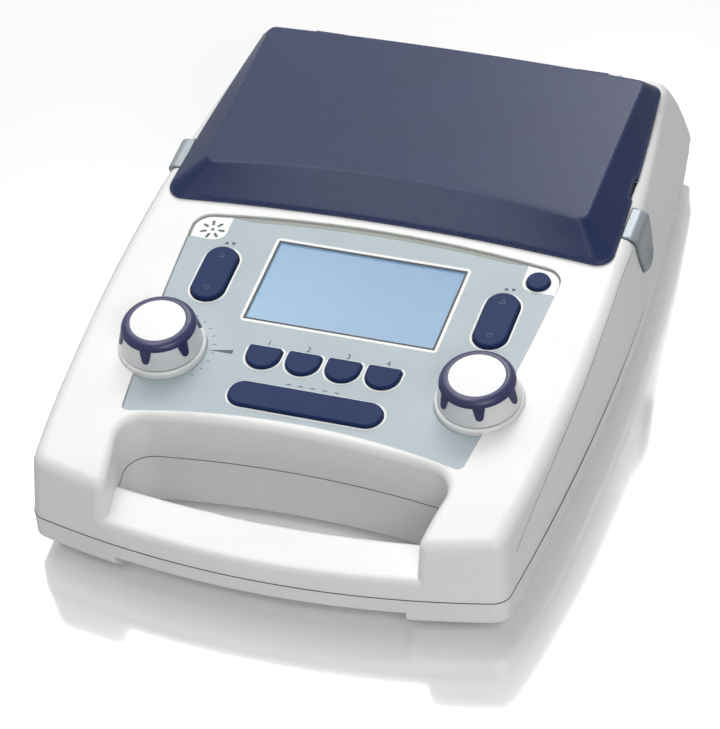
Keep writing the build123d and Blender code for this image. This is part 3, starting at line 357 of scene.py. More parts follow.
def brushed(name, colour, rough, stretch):
    """Turned or brushed metal, with fine lines along one way."""
    material, tree, shader = new_material(name)
    place = add_node(tree, "ShaderNodeTexCoord").outputs["Object"]
    pulled = add_node(tree, "ShaderNodeMapping", {"Vector": place, "Scale": stretch})
    lines = add_node(
        tree, "ShaderNodeTexNoise", {"Vector": pulled.outputs[0], "Scale": 900.0, "Detail": 4.0}
    ).outputs["Fac"]
    tone = tuple(c * 0.8 for c in colour[:3]) + (1.0,)
    tree.links.new(blended(tree, lines, colour, tone), shader.inputs["Base Color"])
    tree.links.new(ranged(tree, lines, 0.3, 0.7, rough - 0.07, rough + 0.1), shader.inputs["Roughness"])
    bump = add_node(tree, "ShaderNodeBump", {"Strength": 0.25, "Distance": 0.00002, "Height": lines})
    tree.links.new(bump.outputs[0], shader.inputs["Normal"])
    shader.inputs["Metallic"].default_value = 1.0
    return material


def circuit_lacquer():
    """Green solder mask with copper tracks under it."""
    material, tree, shader = new_material("circuit_lacquer")
    place = add_node(tree, "ShaderNodeTexCoord").outputs["Object"]
    tracks = add_node(
        tree, "ShaderNodeTexBrick",
        {"Vector": place, "Scale": 90.0, "Mortar Size": 0.018, "Color1": srgb(18, 84, 48),
         "Color2": srgb(14, 70, 40), "Mortar": srgb(60, 128, 70)},
        offset=0.37,
    )
    tree.links.new(tracks.outputs["Color"], shader.inputs["Base Color"])
    bump = add_node(tree, "ShaderNodeBump", {"Strength": 0.3, "Distance": 0.00004, "Height": tracks.outputs["Fac"]})
    tree.links.new(bump.outputs[0], shader.inputs["Normal"])
    shader.inputs["Roughness"].default_value = 0.35
    return material


def screen_glow():
    """Screen that glows light blue, deeper towards its upper right, with faint rows; the glow is painted light that
    stands in for light on the module under the window.
    """
    material, tree, shader = new_material("screen_glow")
    place = add_node(tree, "ShaderNodeTexCoord").outputs["Object"]
    slope = add_node(
        tree, "ShaderNodeVectorMath", {0: place, 1: (4.2, 8.0, 0.0)}, operation="DOT_PRODUCT"
    ).outputs["Value"]
    share = ranged(tree, slope, -0.72, 0.18, 0.0, 1.0)
    glow = blended(tree, share, srgb(156, 207, 242), srgb(96, 154, 208))
    rows = add_node(tree, "ShaderNodeTexNoise", {"Vector": place, "Scale": 30.0, "Detail": 2.0}).outputs["Fac"]
    glow = blended(tree, ranged(tree, rows, 0.3, 0.7, 0.0, 0.12), glow, srgb(184, 214, 242))
    # Painted light: the emission gives the screen its lit look.
    tree.links.new(glow, shader.inputs["Emission Color"])
    tree.links.new(blended(tree, 0.9, glow, srgb(16, 22, 32)), shader.inputs["Base Color"])
    shader.inputs["Emission Strength"].default_value = 0.52
    shader.inputs["Roughness"].default_value = 0.3
    return material


def clear_window():
    """Clear hard-coated window with faint smudges."""
    material, tree, shader = new_material("clear_window")
    place = add_node(tree, "ShaderNodeTexCoord").outputs["Object"]
    smudge = add_node(tree, "ShaderNodeTexNoise", {"Vector": place, "Scale": 60.0, "Detail": 5.0}).outputs["Fac"]
    tree.links.new(ranged(tree, smudge, 0.4, 0.75, 0.01, 0.07), shader.inputs["Roughness"])
    tree.links.new(
        blended(tree, smudge, (1.0, 1.0, 1.0, 1.0), (0.97, 0.985, 1.0, 1.0)), shader.inputs["Base Color"]
    )
    shader.inputs["Transmission Weight"].default_value = 1.0
    shader.inputs["IOR"].default_value = 1.25
    return material


white_case = moulded("white_case", (0.86, 0.86, 0.845, 1), (0.83, 0.832, 0.82, 1), 0.36, edge=(0.93, 0.93, 0.92, 1),
                     depth=0.000012, radius=0.0008)
panel_film = moulded("panel_film", srgb(171, 184, 190), srgb(165, 178, 184), 0.42, grain=3800.0, depth=0.00001,
                     edge=srgb(205, 212, 216), radius=0.0003)
# Navy lid: the lighter edge colour along its creases is a painted highlight.
navy_shell = moulded("navy_shell", srgb(22, 38, 78), srgb(18, 33, 71), 0.27, grain=1500.0, depth=0.00004,
                     edge=srgb(110, 118, 158), edge_share=0.6, radius=0.0022, speck=0.15, specular=0.2, crease=True)
navy_grip = moulded("navy_grip", srgb(30, 31, 84), srgb(26, 27, 76), 0.34, grain=3000.0, depth=0.00001,
                    edge=srgb(110, 112, 168), edge_share=0.5, radius=0.0006)
navy_key = moulded("navy_key", srgb(25, 46, 90), srgb(21, 41, 84), 0.42, grain=2800.0, depth=0.00001,
                   edge=srgb(60, 72, 120), edge_share=0.25, radius=0.0007, specular=0.12)
silver_white = moulded("silver_white", srgb(226, 227, 228), srgb(218, 219, 221), 0.2, grain=4000.0, depth=0.000004,
                       edge=srgb(244, 244, 246), radius=0.0005, metal=0.08, coat=0.3)
white_cap = moulded("white_cap", (0.88, 0.88, 0.88, 1), (0.85, 0.85, 0.85, 1), 0.3, grain=4000.0, depth=0.000004,
                    edge=(0.95, 0.95, 0.95, 1), radius=0.0004)
# Latch lever: its much lighter edges are painted highlight along the lever's rims.
latch_grey = moulded("latch_grey", srgb(146, 153, 158), srgb(136, 143, 149), 0.32, grain=3000.0, depth=0.000008,
                     edge=srgb(222, 225, 228), edge_share=0.6, radius=0.0006, metal=0.3)
soft_rubber = moulded("soft_rubber", srgb(62, 62, 66), srgb(54, 54, 58), 0.7, grain=1800.0, depth=0.00004,
                      edge=srgb(98, 98, 102), radius=0.0006, specular=0.3)
tray_grey = moulded("tray_grey", srgb(92, 97, 105), srgb(84, 89, 97), 0.55, grain=1500.0, depth=0.00004,
                    edge=srgb(130, 135, 142), radius=0.0008, speck=0.2)
black_plastic = moulded("black_plastic", srgb(30, 30, 33), srgb(24, 24, 27), 0.5, grain=2000.0, depth=0.00003,
                        edge=srgb(70, 70, 74), radius=0.0004)
ribbon_grey = moulded("ribbon_grey", srgb(190, 190, 192), srgb(176, 176, 180), 0.5, grain=1200.0, depth=0.00004)
white_ink = moulded("white_ink", srgb(246, 247, 245), srgb(240, 242, 240), 0.4, grain=3800.0, depth=0.00001)
# Ink of the printed band, also the colour of the thin line of painted shade round the corners.
band_ink_and_rim_shade = moulded("band_ink_and_rim_shade", srgb(148, 154, 146), srgb(142, 148, 141), 0.42, grain=3800.0, depth=0.00001)
dark_ink = moulded("dark_ink", srgb(58, 66, 78), srgb(50, 58, 70), 0.45, grain=3800.0, depth=0.00001)
black_ink = moulded("black_ink", srgb(12, 13, 17), srgb(9, 10, 14), 0.35, grain=3800.0, depth=0.00001)
seam_shadow = moulded("seam_shadow", srgb(70, 74, 76), srgb(60, 64, 66), 0.7, grain=2000.0, depth=0.00002)
groove_grey = moulded("groove_grey", srgb(150, 151, 148), srgb(140, 141, 138), 0.6, grain=2000.0, depth=0.00002)
# Raised arrows on the rockers: a little lighter than the key as painted highlight.
relief_highlight_navy = moulded("relief_highlight_navy", srgb(34, 44, 96), srgb(30, 40, 90), 0.3, grain=2800.0, depth=0.00001)
mark_grey = moulded("mark_grey", srgb(112, 118, 122), srgb(104, 110, 114), 0.4, grain=2800.0, depth=0.00001)
ring_red = moulded("ring_red", srgb(168, 34, 34), srgb(156, 30, 30), 0.4, grain=2600.0, depth=0.00001)
ring_blue = moulded("ring_blue", srgb(36, 76, 160), srgb(32, 68, 150), 0.4, grain=2600.0, depth=0.00001)
ring_grey = moulded("ring_grey", srgb(200, 202, 204), srgb(190, 192, 194), 0.4, grain=2600.0, depth=0.00001)
ring_black = moulded("ring_black", srgb(26, 26, 28), srgb(20, 20, 22), 0.4, grain=2600.0, depth=0.00001)
bright_steel = brushed("bright_steel", (0.62, 0.62, 0.64, 1), 0.3, (1.0, 1.0, 14.0))
board_green = circuit_lacquer()
screen_blue = screen_glow()
window_clear = clear_window()

slot_finish = {
    "white_plastic": white_case,
    "panel_film": panel_film,
    "window": window_clear,
    "display": black_plastic,
    "navy_plastic": navy_shell,
    "navy_keys": navy_key,
    "grey_rubber": soft_rubber,
    "circuit_board": board_green,
    "silver_white": silver_white,
    "latch_grey": latch_grey,
    "steel": bright_steel,
    "tray_plastic": tray_grey,
    "ribbon": ribbon_grey,
    "black_plastic": black_plastic,
}
node_slot = {row["node"]: row["material_slot"] for row in frame["record"]["subparts"]}
for node, obj in frame["nodes"].items():
    finish = slot_finish[node_slot[node]]
    if node.endswith("_dial_grip"):
        finish = navy_grip
    if node.endswith("_dial_cap"):
        finish = white_cap
    if not obj.material_slots:
        obj.data.materials.append(finish)
    for place in obj.material_slots:
        place.material = finish


# Mesh helpers

def add_piece(name, mesh, material, body):
    """A finished piece: its mesh in the row frame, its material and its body."""
    piece = bpy.data.objects.new(name, mesh)
    bpy.context.scene.collection.objects.link(piece)
    if not mesh.materials:
        mesh.materials.append(material)
    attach(piece, body)
    return piece


def closed_mesh(name, bm):
    """A mesh from bmesh, with its doubles merged and its faces turned outwards."""
    bmesh.ops.remove_doubles(bm, verts=bm.verts, dist=1e-7)
    bmesh.ops.recalc_face_normals(bm, faces=bm.faces)
    mesh = bpy.data.meshes.new(name)
    bm.to_mesh(mesh)
    bm.free()
    return mesh


def baked_mesh(name, data, place):
    """The mesh of a curve or text, put in its place."""
    carrier = bpy.data.objects.new(name, data)
    bpy.context.scene.collection.objects.link(carrier)
    evaluated = carrier.evaluated_get(bpy.context.evaluated_depsgraph_get())
    mesh = bpy.data.meshes.new_from_object(evaluated)
    bpy.data.objects.remove(carrier)
    bm = bmesh.new()
    bm.from_mesh(mesh)
    bpy.data.meshes.remove(mesh)
    mesh = closed_mesh(name, bm)
    mesh.transform(place)
    return mesh


def flat_shape(name, loops, low, high, place=panel_place):
    """Flat plate between two heights off a plane; loops that lie inside the first are its holes."""
    curve = bpy.data.curves.new(name, "CURVE")
    curve.dimensions = "2D"
    curve.fill_mode = "BOTH"
    curve.extrude = (high - low) / 2 * mm
    for loop in loops:
        line = curve.splines.new("POLY")
        line.points.add(len(loop) - 1)
        for point, (u, v) in zip(line.points, loop):
            point.co = (u * mm, v * mm, 0.0, 1.0)
        line.use_cyclic_u = True
    return baked_mesh(name, curve, place @ Matrix.Translation((0, 0, (low + high) / 2 * mm)))


def figure_mesh(name, text, height, u, v):
    """A plain printed figure, centred at a place on the panel."""
    curve = bpy.data.curves.new(name, "FONT")
    curve.body = text
    curve.size = height * mm
    curve.align_x = "CENTER"
    curve.align_y = "CENTER"
    curve.resolution_u = 4
    curve.extrude = (ink_high - ink_low) / 2 * mm
    return baked_mesh(name, curve, panel_place @ Matrix.Translation(Vector((u, v, (ink_high + ink_low) / 2)) * mm))


# Geometry Nodes

def new_tree(name, sizes):
    """An empty Geometry Nodes tree with named inputs, and its two ends."""
    tree = bpy.data.node_groups.new(name, "GeometryNodeTree")
    tree.interface.new_socket("Start", in_out="INPUT", socket_type="NodeSocketGeometry")
    for label, kind in sizes.items():
        tree.interface.new_socket(label, in_out="INPUT", socket_type=kind)
    tree.interface.new_socket("Result", in_out="OUTPUT", socket_type="NodeSocketGeometry")
    return tree, tree.nodes.new("NodeGroupInput").outputs, tree.nodes.new("NodeGroupOutput").inputs["Result"]


def finish_tree(tree, shape, material, result):
    """The end of each tree: real geometry with its material."""
    real = add_node(tree, "GeometryNodeRealizeInstances", {"Geometry": shape})
    dressed = add_node(tree, "GeometryNodeSetMaterial", {"Geometry": real.outputs[0], "Material": material})
    tree.links.new(dressed.outputs[0], result)
    return tree


def line_along_path():
    """A round line along each path of the start mesh."""
    tree, given, result = new_tree(
        "line_along_path", {"Radius": "NodeSocketFloat", "Sides": "NodeSocketInt", "Material": "NodeSocketMaterial"}
    )
    path = add_node(tree, "GeometryNodeMeshToCurve", {"Mesh": given["Start"]})
    ring = add_node(
        tree, "GeometryNodeCurvePrimitiveCircle", {"Resolution": given["Sides"], "Radius": given["Radius"]}
    )
    tube = add_node(
        tree, "GeometryNodeCurveToMesh",
        {"Curve": path.outputs[0], "Profile Curve": ring.outputs[0], "Fill Caps": True},
    )
    return finish_tree(tree, tube.outputs[0], given["Material"], result)


def marks_at_points():
    """A flat cross, or a bar where its second arm is as short as it is wide, at each point of the start mesh."""
    tree, given, result = new_tree(
        "marks_at_points",
        {"First Arm": "NodeSocketFloat", "Second Arm": "NodeSocketFloat", "Width": "NodeSocketFloat",
         "Height": "NodeSocketFloat", "Material": "NodeSocketMaterial"},
    )
    arms = []
    for first, second in (("First Arm", "Width"), ("Width", "Second Arm")):
        size = add_node(
            tree, "ShaderNodeCombineXYZ", {"X": given[first], "Y": given[second], "Z": given["Height"]}
        )
        arms.append(add_node(tree, "GeometryNodeMeshCube", {"Size": size.outputs[0]}).outputs[0])
    cross = tree.nodes.new("GeometryNodeJoinGeometry")
    for arm in arms:
        tree.links.new(arm, cross.inputs[0])
    turned = add_node(
        tree, "FunctionNodeAlignRotationToVector",
        {"Vector": tree.nodes.new("GeometryNodeInputPosition").outputs[0]}, axis="X",
    )
    copies = add_node(
        tree, "GeometryNodeInstanceOnPoints",
        {"Points": given["Start"], "Instance": cross.outputs[0], "Rotation": turned.outputs[0]},
    )
    return finish_tree(tree, copies.outputs[0], given["Material"], result)


line_tree = line_along_path()
mark_tree = marks_at_points()


def run_tree(name, tree, start, values):
    """The plain mesh that a tree makes from a start mesh."""
    carrier = bpy.data.objects.new(name, start)
    bpy.context.scene.collection.objects.link(carrier)
    modifier = carrier.modifiers.new(tree.name, "NODES")
    modifier.node_group = tree
    sockets = {item.name: item.identifier for item in tree.interface.items_tree if item.in_out == "INPUT"}
    for label, value in values.items():
        modifier[sockets[label]] = value
    evaluated = carrier.evaluated_get(bpy.context.evaluated_depsgraph_get())
    mesh = bpy.data.meshes.new_from_object(evaluated)
    mesh.name = name
    carrier.modifiers.remove(modifier)
    bpy.data.objects.remove(carrier)
    return mesh


def lines_mesh(name, paths, radius, material, sides):
    """Round lines along paths of points in metres; a path whose ends meet is closed."""
    points, edges = [], []
    for path in paths:
        closed = (path[0] - path[-1]).length < closing_gap * mm
        run = path[:-1] if closed else path
        first = len(points)
        points += run
        edges += [(first + i, first + i + 1) for i in range(len(run) - 1)]
        if closed:
            edges.append((first + len(run) - 1, first))
    start = bpy.data.meshes.new(name)
    start.from_pydata(points, edges, [])
    return run_tree(name, line_tree, start, {"Radius": radius * mm, "Sides": sides, "Material": material})


def marks_mesh(name, places, first_arm, second_arm, width, material, place, high=ink_high, low=ink_low):
    """Marks at places given on a plane, each turned away from that plane's origin."""
    start = bpy.data.meshes.new(name)
    start.from_pydata([(x * mm, y * mm, 0.0) for x, y in places], [], [])
    mesh = run_tree(
        name, mark_tree, start,
        {"First Arm": first_arm * mm, "Second Arm": second_arm * mm, "Width": width * mm,
         "Height": (high - low) * mm, "Material": material},
    )
    mesh.transform(place @ Matrix.Translation((0, 0, (high + low) / 2 * mm)))
    return mesh


def ring_solid(bm, outer, inner, low, high):
    """Flat ring between two loops of (u, v) with the same number of points."""
    rows = []
    for loop, w in ((outer, low), (outer, high), (inner, high), (inner, low)):
        rows.append([bm.verts.new(on_panel(u, v, w)) for u, v in loop])
    count = len(outer)
    for first, second in zip(rows, rows[1:] + rows[:1]):
        for i in range(count):
            j = (i + 1) % count
            bm.faces.new((first[i], first[j], second[j], second[i]))


def panel_plate(name, loop, low, high):
    """Flat plate with a closed outline of (u, v)."""
    bm = bmesh.new()
    bottom = [bm.verts.new(on_panel(u, v, low)) for u, v in loop]
    top = [bm.verts.new(on_panel(u, v, high)) for u, v in loop]
    count = len(loop)
    faces = [bm.faces.new(bottom), bm.faces.new(top)]
    for i in range(count):
        j = (i + 1) % count
        bm.faces.new((bottom[i], bottom[j], top[j], top[i]))
    bmesh.ops.triangulate(bm, faces=faces)
    return closed_mesh(name, bm)


def arc(centre_u, centre_v, radius, start, end, steps=arc_steps):
    """Points of an arc, with its angles in degrees."""
    points = []
    for i in range(steps + 1):
        angle = math.radians(start + (end - start) * i / steps)
        points.append((centre_u + radius * math.cos(angle), centre_v + radius * math.sin(angle)))
    return points


def stadium(place, length, width, upright, grow=0.0):
    """Outline with two round ends."""
    u, v = place
    reach = (length - width) / 2
    radius = width / 2 + grow
    if upright:
        return arc(u, v + reach, radius, 0, 180) + arc(u, v - reach, radius, 180, 360)
    return arc(u + reach, v, radius, -90, 90) + arc(u - reach, v, radius, 90, 270)


def function_outline(u, grow):
    """Outline of a function key: round below, flat above."""
    radius = function_radius + grow
    flat = function_v + function_flat + grow
    corner = function_corner + grow
    return (
        arc(u, function_v, radius, 180, 360)
        + arc(u + radius - corner, flat - corner, corner, 0, 90)
        + arc(u - radius + corner, flat - corner, corner, 90, 180)
    )


def rounded_box(half_u, half_v, corner):
    """Outline of a box with round corners, about the panel's centre."""
    points = []
    for side_u, side_v, start in ((1, 1, 0), (-1, 1, 90), (-1, -1, 180), (1, -1, 270)):
        points += arc(side_u * (half_u - corner), side_v * (half_v - corner), corner, start, start + 90)
    return points


def surface_copy(node):
    """A merged copy of a CAD node's mesh, for reading its outline only."""
    bm = bmesh.new()
    bm.from_mesh(frame["nodes"][node].data)
    bmesh.ops.remove_doubles(bm, verts=bm.verts, dist=1e-6)
    return bm


def linked_loops(edges):
    """The closed runs of vertices that some edges make, in the edges' own order."""
    free = dict.fromkeys(edges)
    loops = []
    while free:
        edge = next(iter(free))
        del free[edge]
        run = [edge.verts[0], edge.verts[1]]
        while True:
            step = next((e for e in run[-1].link_edges if e in free), None)
            if step is None:
                break
            del free[step]
            run.append(step.other_vert(run[-1]))
        loops.append(run)
    return loops


def cut_loops(node, point, across):
    """Where a plane cuts a CAD node, as closed runs of points."""
    bm = surface_copy(node)
    geometry = bm.verts[:] + bm.edges[:] + bm.faces[:]
    cut = bmesh.ops.bisect_plane(bm, geom=geometry, plane_co=point, plane_no=across)
    edges = [e for e in cut["geom_cut"] if isinstance(e, bmesh.types.BMEdge)]
    loops = [[vert.co.copy() for vert in run] for run in linked_loops(edges)]
    bm.free()
    return loops


def overlay_edge():
    """Outline of the control overlay's top face, as (u, v)."""
    bm = surface_copy("control_overlay")
    level = {f for f in bm.faces if f.normal.dot(off_panel) > 0.99}
    top = {f for f in level if abs(panel_coords(f.calc_center_median()).z) < top_within}
    rim = [e for e in bm.edges if len([f for f in e.link_faces if f in top]) == 1]
    loop = max(linked_loops(rim), key=lambda run: max(abs(panel_coords(p.co).x) for p in run))
    points = [tuple(panel_coords(p.co))[:2] for p in loop]
    bm.free()
    return points


overlay_points = overlay_edge()


def edge_crossings(axis, value):
    """Where the overlay's outline crosses a line of fixed u (axis 0) or fixed v (axis 1)."""
    other = 1 - axis
    found = []
    for first, second in zip(overlay_points, overlay_points[1:] + overlay_points[:1]):
        a, b = first[axis] - value, second[axis] - value
        if a * b <= 0 and a != b:
            found.append(first[other] + (second[other] - first[other]) * a / (a - b))
    return found


def edge_top(u):
    """How far up the overlay reaches at a place across it."""
    return max(edge_crossings(0, u))


# Printing on the overlay

def print_outlines():
    """White outlines round the keys and the window."""
    bm = bmesh.new()
    loops = []
    for place in rocker_places.values():
        loops.append([stadium(place, *rocker_size, True, rocker_hole + grow) for grow in (outline_width, 0.0)])
    loops.append([stadium(tone_place, *tone_size, False, key_hole + grow) for grow in (outline_width, 0.0)])
    for u in function_places_u:
        loops.append([function_outline(u, key_hole + grow) for grow in (outline_width, 0.0)])
    for outer, inner in loops:
        ring_solid(bm, outer, inner, ink_low, ink_high)
    outer = rounded_box(window_half_u + bezel_width, window_half_v + bezel_width, bezel_corners[0])
    inner = rounded_box(window_half_u + window_gap, window_half_v + window_gap, bezel_corners[1])
    ring_solid(bm, outer, inner, ink_low, ink_high)
    return closed_mesh("print_outlines", bm)


def rim_inset(u, v):
    """How far the white fields keep from the overlay's edge, which leaves a thin line of painted shade along it: less
    and less down its right side.
    """
    if u < 0:
        return rim_shade_width
    height_share = (v - field_foot_v) / (edge_top(field_edge_u) - field_foot_v)
    return rim_shade_width * min(1.0, max(rim_shade_least_share, height_share))


def rear_edge():
    """The overlay's edge behind the fields' foot, from its right side round to its left."""
    run = [p for p in overlay_points if p[1] > field_foot_v]
    run.sort(key=lambda p: math.atan2(p[1] - field_foot_v, p[0]))
    return [(max(edge_crossings(1, field_foot_v)), field_foot_v)] + run + [
        (min(edge_crossings(1, field_foot_v)), field_foot_v)
    ]


def inner_edge(run, width):
    """A run of points moved in from the edge, square to it, by a width that may change along it."""
    moved = []
    for i, (u, v) in enumerate(run):
        before, after = run[max(i - 1, 0)], run[min(i + 1, len(run) - 1)]
        along = Vector((after[0] - before[0], after[1] - before[1])).normalized()
        reach = width(u, v)
        moved.append((u - along.y * reach, v + along.x * reach))
    return moved


def radial_slot(turn):
    """Outline of one of the speaker's slots, with its place on the panel."""
    length, width = slot_size
    angle = 2 * math.pi * turn / slot_count
    outline = stadium((slot_ring_radius, 0.0), length, width, False)
    return [
        (
            speaker_place[0] + u * math.cos(angle) - v * math.sin(angle),
            speaker_place[1] + u * math.sin(angle) + v * math.cos(angle),
        )
        for u, v in outline
    ]


def print_fields():
    """White fields in the two rear corners, open over the speaker's slots and round the round key."""
    holes = {
        -1: [radial_slot(turn) for turn in range(slot_count)] + [
            arc(*speaker_place, slot_centre_radius, 0, slot_centre_end)
        ],
        1: [arc(*round_place, round_radius + key_hole, 0, round_end, round_steps)],
    }
    meshes = []
    for side in (-1, 1):
        run = inner_edge([p for p in rear_edge() if p[0] * side > field_edge_u - field_overlap], rim_inset)
        run = [p for p in run if p[0] * side > field_edge_u]
        corner_place = (side * (field_edge_u + field_corner), field_foot_v + field_corner)
        turn = arc(*corner_place, field_corner, 270, 270 - side * 90)
        top = (side * field_edge_u, edge_top(side * field_edge_u) - rim_shade_width)
        loop = (run + [top] + turn[::-1]) if side > 0 else ([top] + run + turn)
        meshes.append(flat_shape(f"print_field_{side}", [loop] + holes[side], ink_low, ink_high))
    return meshes


def band_width(u, v):
    """Width of the darker rim: a thin line of painted shade round the corners, a printed band between the two white
    fields.
    """
    if abs(u) < field_edge_u:
        return band_height - band_taper * (u / field_edge_u + 1) / 2
    return rim_inset(u, v)


def print_rim():
    """Darker rim along the overlay's rear edge: a printed band between the white fields, and painted shade from the
    step at the overlay's edge round the corners.
    """
    run = rear_edge()
    return flat_shape("print_rim", [run + inner_edge(run, band_width)[::-1]], ink_low, ink_high)


def add_print(name, mesh, ink=dark_ink):
    """A printed piece of the overlay."""
    add_piece(name, mesh, ink, "case")


add_print("print_outlines", print_outlines(), white_ink)
add_print("print_rim", print_rim(), band_ink_and_rim_shade)
for name, mesh in zip(("print_field_left", "print_field_right"), print_fields()):
    add_print(name, mesh, white_ink)


# Figures and marks beside the controls

def triangle(u, v, size, turn):
    """Small triangle that points up (1) or down (-1)."""
    half, foot, tip = (share * size for share in arrow_shares)
    return [(u - half, v - turn * foot), (u + half, v - turn * foot), (u, v + turn * tip)]


for number, u in enumerate(function_places_u, 1):
    add_print(f"figure_{number}", figure_mesh(f"figure_{number}", str(number), figure_height, u, figure_v))

for side, (u, v) in rocker_places.items():
    above = v + rocker_size[0] / 2 + arrow_beyond
    for label, turn in (("up", 1), ("down", -1)):
        arrow = triangle(u - turn * arrow_apart, above, arrow_size, turn)
        add_print(f"{side}_{label}_mark", flat_shape(f"{side}_{label}_mark", [arrow], ink_low, ink_high))
    for label, turn in (("up", 1), ("down", -1)):
        # Raised arrows on each rocker, coloured lighter as painted highlight.
        arrows = [triangle(u, v + turn * rocker_arrow_v, size, turn) for size in rocker_arrow_sizes]
        low, high = (rocker_top_w + rise for rise in rocker_arrow_rise)
        mesh = flat_shape(f"{side}_rocker_{label}", arrows, low, high)
        add_piece(f"{side}_rocker_{label}", mesh, relief_highlight_navy, f"{side}_rocker_key")

add_print("level_ramp", flat_shape("level_ramp", [level_ramp], ink_low, ink_high))

for side, (u, v) in dial_places.items():
    turns = [dial_tick_start[side] + dial_tick_span * i / (dial_tick_count - 1) for i in range(dial_tick_count)]
    places = [(dial_tick_radius * math.cos(a), dial_tick_radius * math.sin(a)) for a in map(math.radians, turns)]
    kept = [p for p in places if abs(u + p[0]) < dial_tick_limit_u]
    length, width = dial_tick_size
    place = panel_place @ Matrix.Translation(Vector((u, v, 0)) * mm)
    add_print(f"{side}_dial_ticks", marks_mesh(f"{side}_dial_ticks", kept, length, width, width, dark_ink, place))

tone_ticks = [(tone_tick_pitch * (i - (tone_tick_count - 1) / 2), 0.0) for i in range(tone_tick_count)]
length, width = tone_tick_size
place = panel_place @ Matrix.Translation(Vector((tone_place[0], tone_place[1] + tone_tick_v, 0)) * mm)
add_print("tone_ticks", marks_mesh("tone_ticks", tone_ticks, length, width, width, dark_ink, place))


# Display: the area on the module that glows with painted light, and the black border round the window

def window_border():
    """Black border printed round the window."""
    bm = bmesh.new()
    outer = rounded_box(window_half_u + window_gap, window_half_v + window_gap, border_corners[0])
    inner = rounded_box(window_half_u - border_width, window_half_v - border_width, border_corners[1])
    ring_solid(bm, outer, inner, ink_low, ink_high)
    return closed_mesh("window_border", bm)


lit_area = rounded_box(window_half_u - lit_margin, window_half_v - lit_margin, lit_corner)
lit_low, lit_high = (module_top_w + rise for rise in lit_rise)
add_piece("lit_screen", panel_plate("lit_screen", lit_area, lit_low, lit_high), screen_blue, "case")
add_piece("window_border", window_border(), black_ink, "case")


# Painted shade in the gaps under the dials' skirts

def dial_gaps():
    """Dark rings of painted shade in the gaps under the dials' skirts."""
    bm = bmesh.new()
    for u, v in dial_places.values():
        outer, inner = (arc(u, v, radius, 0, round_end, round_steps) for radius in dial_gap_radii)
        ring_solid(bm, outer, inner, *dial_gap_w)
    return closed_mesh("dial_gaps", bm)


add_piece("dial_gaps", dial_gaps(), seam_shadow, "case")


# Lines of the case: its seams, and the groove along each side

def section_loops(node, height):
    """Where a level plane cuts a CAD node."""
    return cut_loops(node, (0, 0, height * mm), (0, 0, 1))


def reach_of(loop):
    """How far a loop spreads along X."""
    return max(p.x for p in loop) - min(p.x for p in loop)


def seam_lines():
    """Dark joint all round between the two halves, and the one inside the grip opening."""
    outside = max(section_loops("lower_case", seam_z - section_drop), key=reach_of)
    narrow, wide = grip_seam_reach
    around_grip = [
        run for run in section_loops("lower_case", sleeve_z - section_drop)
        if narrow < reach_of(run) < wide and max(p.y for p in run) < 0.0
    ]
    inside = min(around_grip, key=reach_of)
    for run, height in ((outside, seam_z), (inside, sleeve_z)):
        for point in run:
            point.z = height * mm
    return [outside, inside]


def groove_points(side):
    """The groove's course on one side of the upper case, found by looking in from outside."""
    bm = surface_copy("upper_case")
    surface = BVHTree.FromBMesh(bm)
    points = []
    for (v0, w0), (v1, w1) in zip(side_groove, side_groove[1:]):
        for step in range(groove_steps):
            share = step / groove_steps
            start = on_panel(side * outside_u, v0 + (v1 - v0) * share, w0 + (w1 - w0) * share)
            hit = surface.ray_cast(start, Vector((-side, 0, 0)))[0]
            if hit is not None:
                points.append(hit)
    bm.free()
    return points


def add_lines(name, paths, radius, finish, body="case", sides=8):
    """A piece made of round lines."""
    add_piece(name, lines_mesh(name, paths, radius, finish, sides), finish, body)


add_lines("seam_lines", seam_lines(), line_radius, seam_shadow)
add_lines("side_grooves", [groove_points(1), groove_points(-1)], groove_radius, groove_grey)


# Marks, dishes, painted shade in the gaps, and pin bosses of the latches

def side_place(side):
    """A plane on the outer face of a latch, as seen from that side: across is along v, up is along w."""
    turn = Matrix(((0, 0, side), (side, 0, 0), (0, 1, 0))).to_4x4()
    return panel_place @ Matrix.Translation((side * latch_face_u * mm, 0, 0)) @ turn


def dish_rim(side):
    """Raised oval rim of the finger dish, on the latch's face."""
    v, w = latch_dish
    half_v, half_w = latch_dish_half
    oval = [(v + half_v * math.cos(a), w + half_w * math.sin(a)) for a in map(math.radians, range(0, 361, 12))]
    return [side_place(side) @ (Vector((side * across, up, 0.0)) * mm) for across, up in oval]


def latch_gap_lines(side, node):
    """Courses of painted shade in the gap down both sides of a latch, a little outside the lever's own outline."""
    loop = max(cut_loops(node, (side * latch_gap_u * mm, 0, 0), (1, 0, 0)), key=len)
    outline = [tuple(panel_coords(point))[1:] for point in loop[:-1]]
    area = sum(a[0] * b[1] - b[0] * a[1] for a, b in zip(outline, outline[1:] + outline[:1]))
    if area > 0:
        outline.reverse()
    top = max(range(len(outline)), key=lambda i: outline[i][1])
    outline = outline[top:] + outline[:top]
    moved = inner_edge(outline, lambda v, w: latch_gap)
    low, high = latch_gap_w
    kept = [(v, w) for v, w in moved if low < w < high]
    runs = [[p for p in kept if p[0] < latch_dish[0]], [p for p in kept if p[0] >= latch_dish[0]]]
    return [[on_panel(side * latch_gap_u, v, w) for v, w in run] for run in runs]


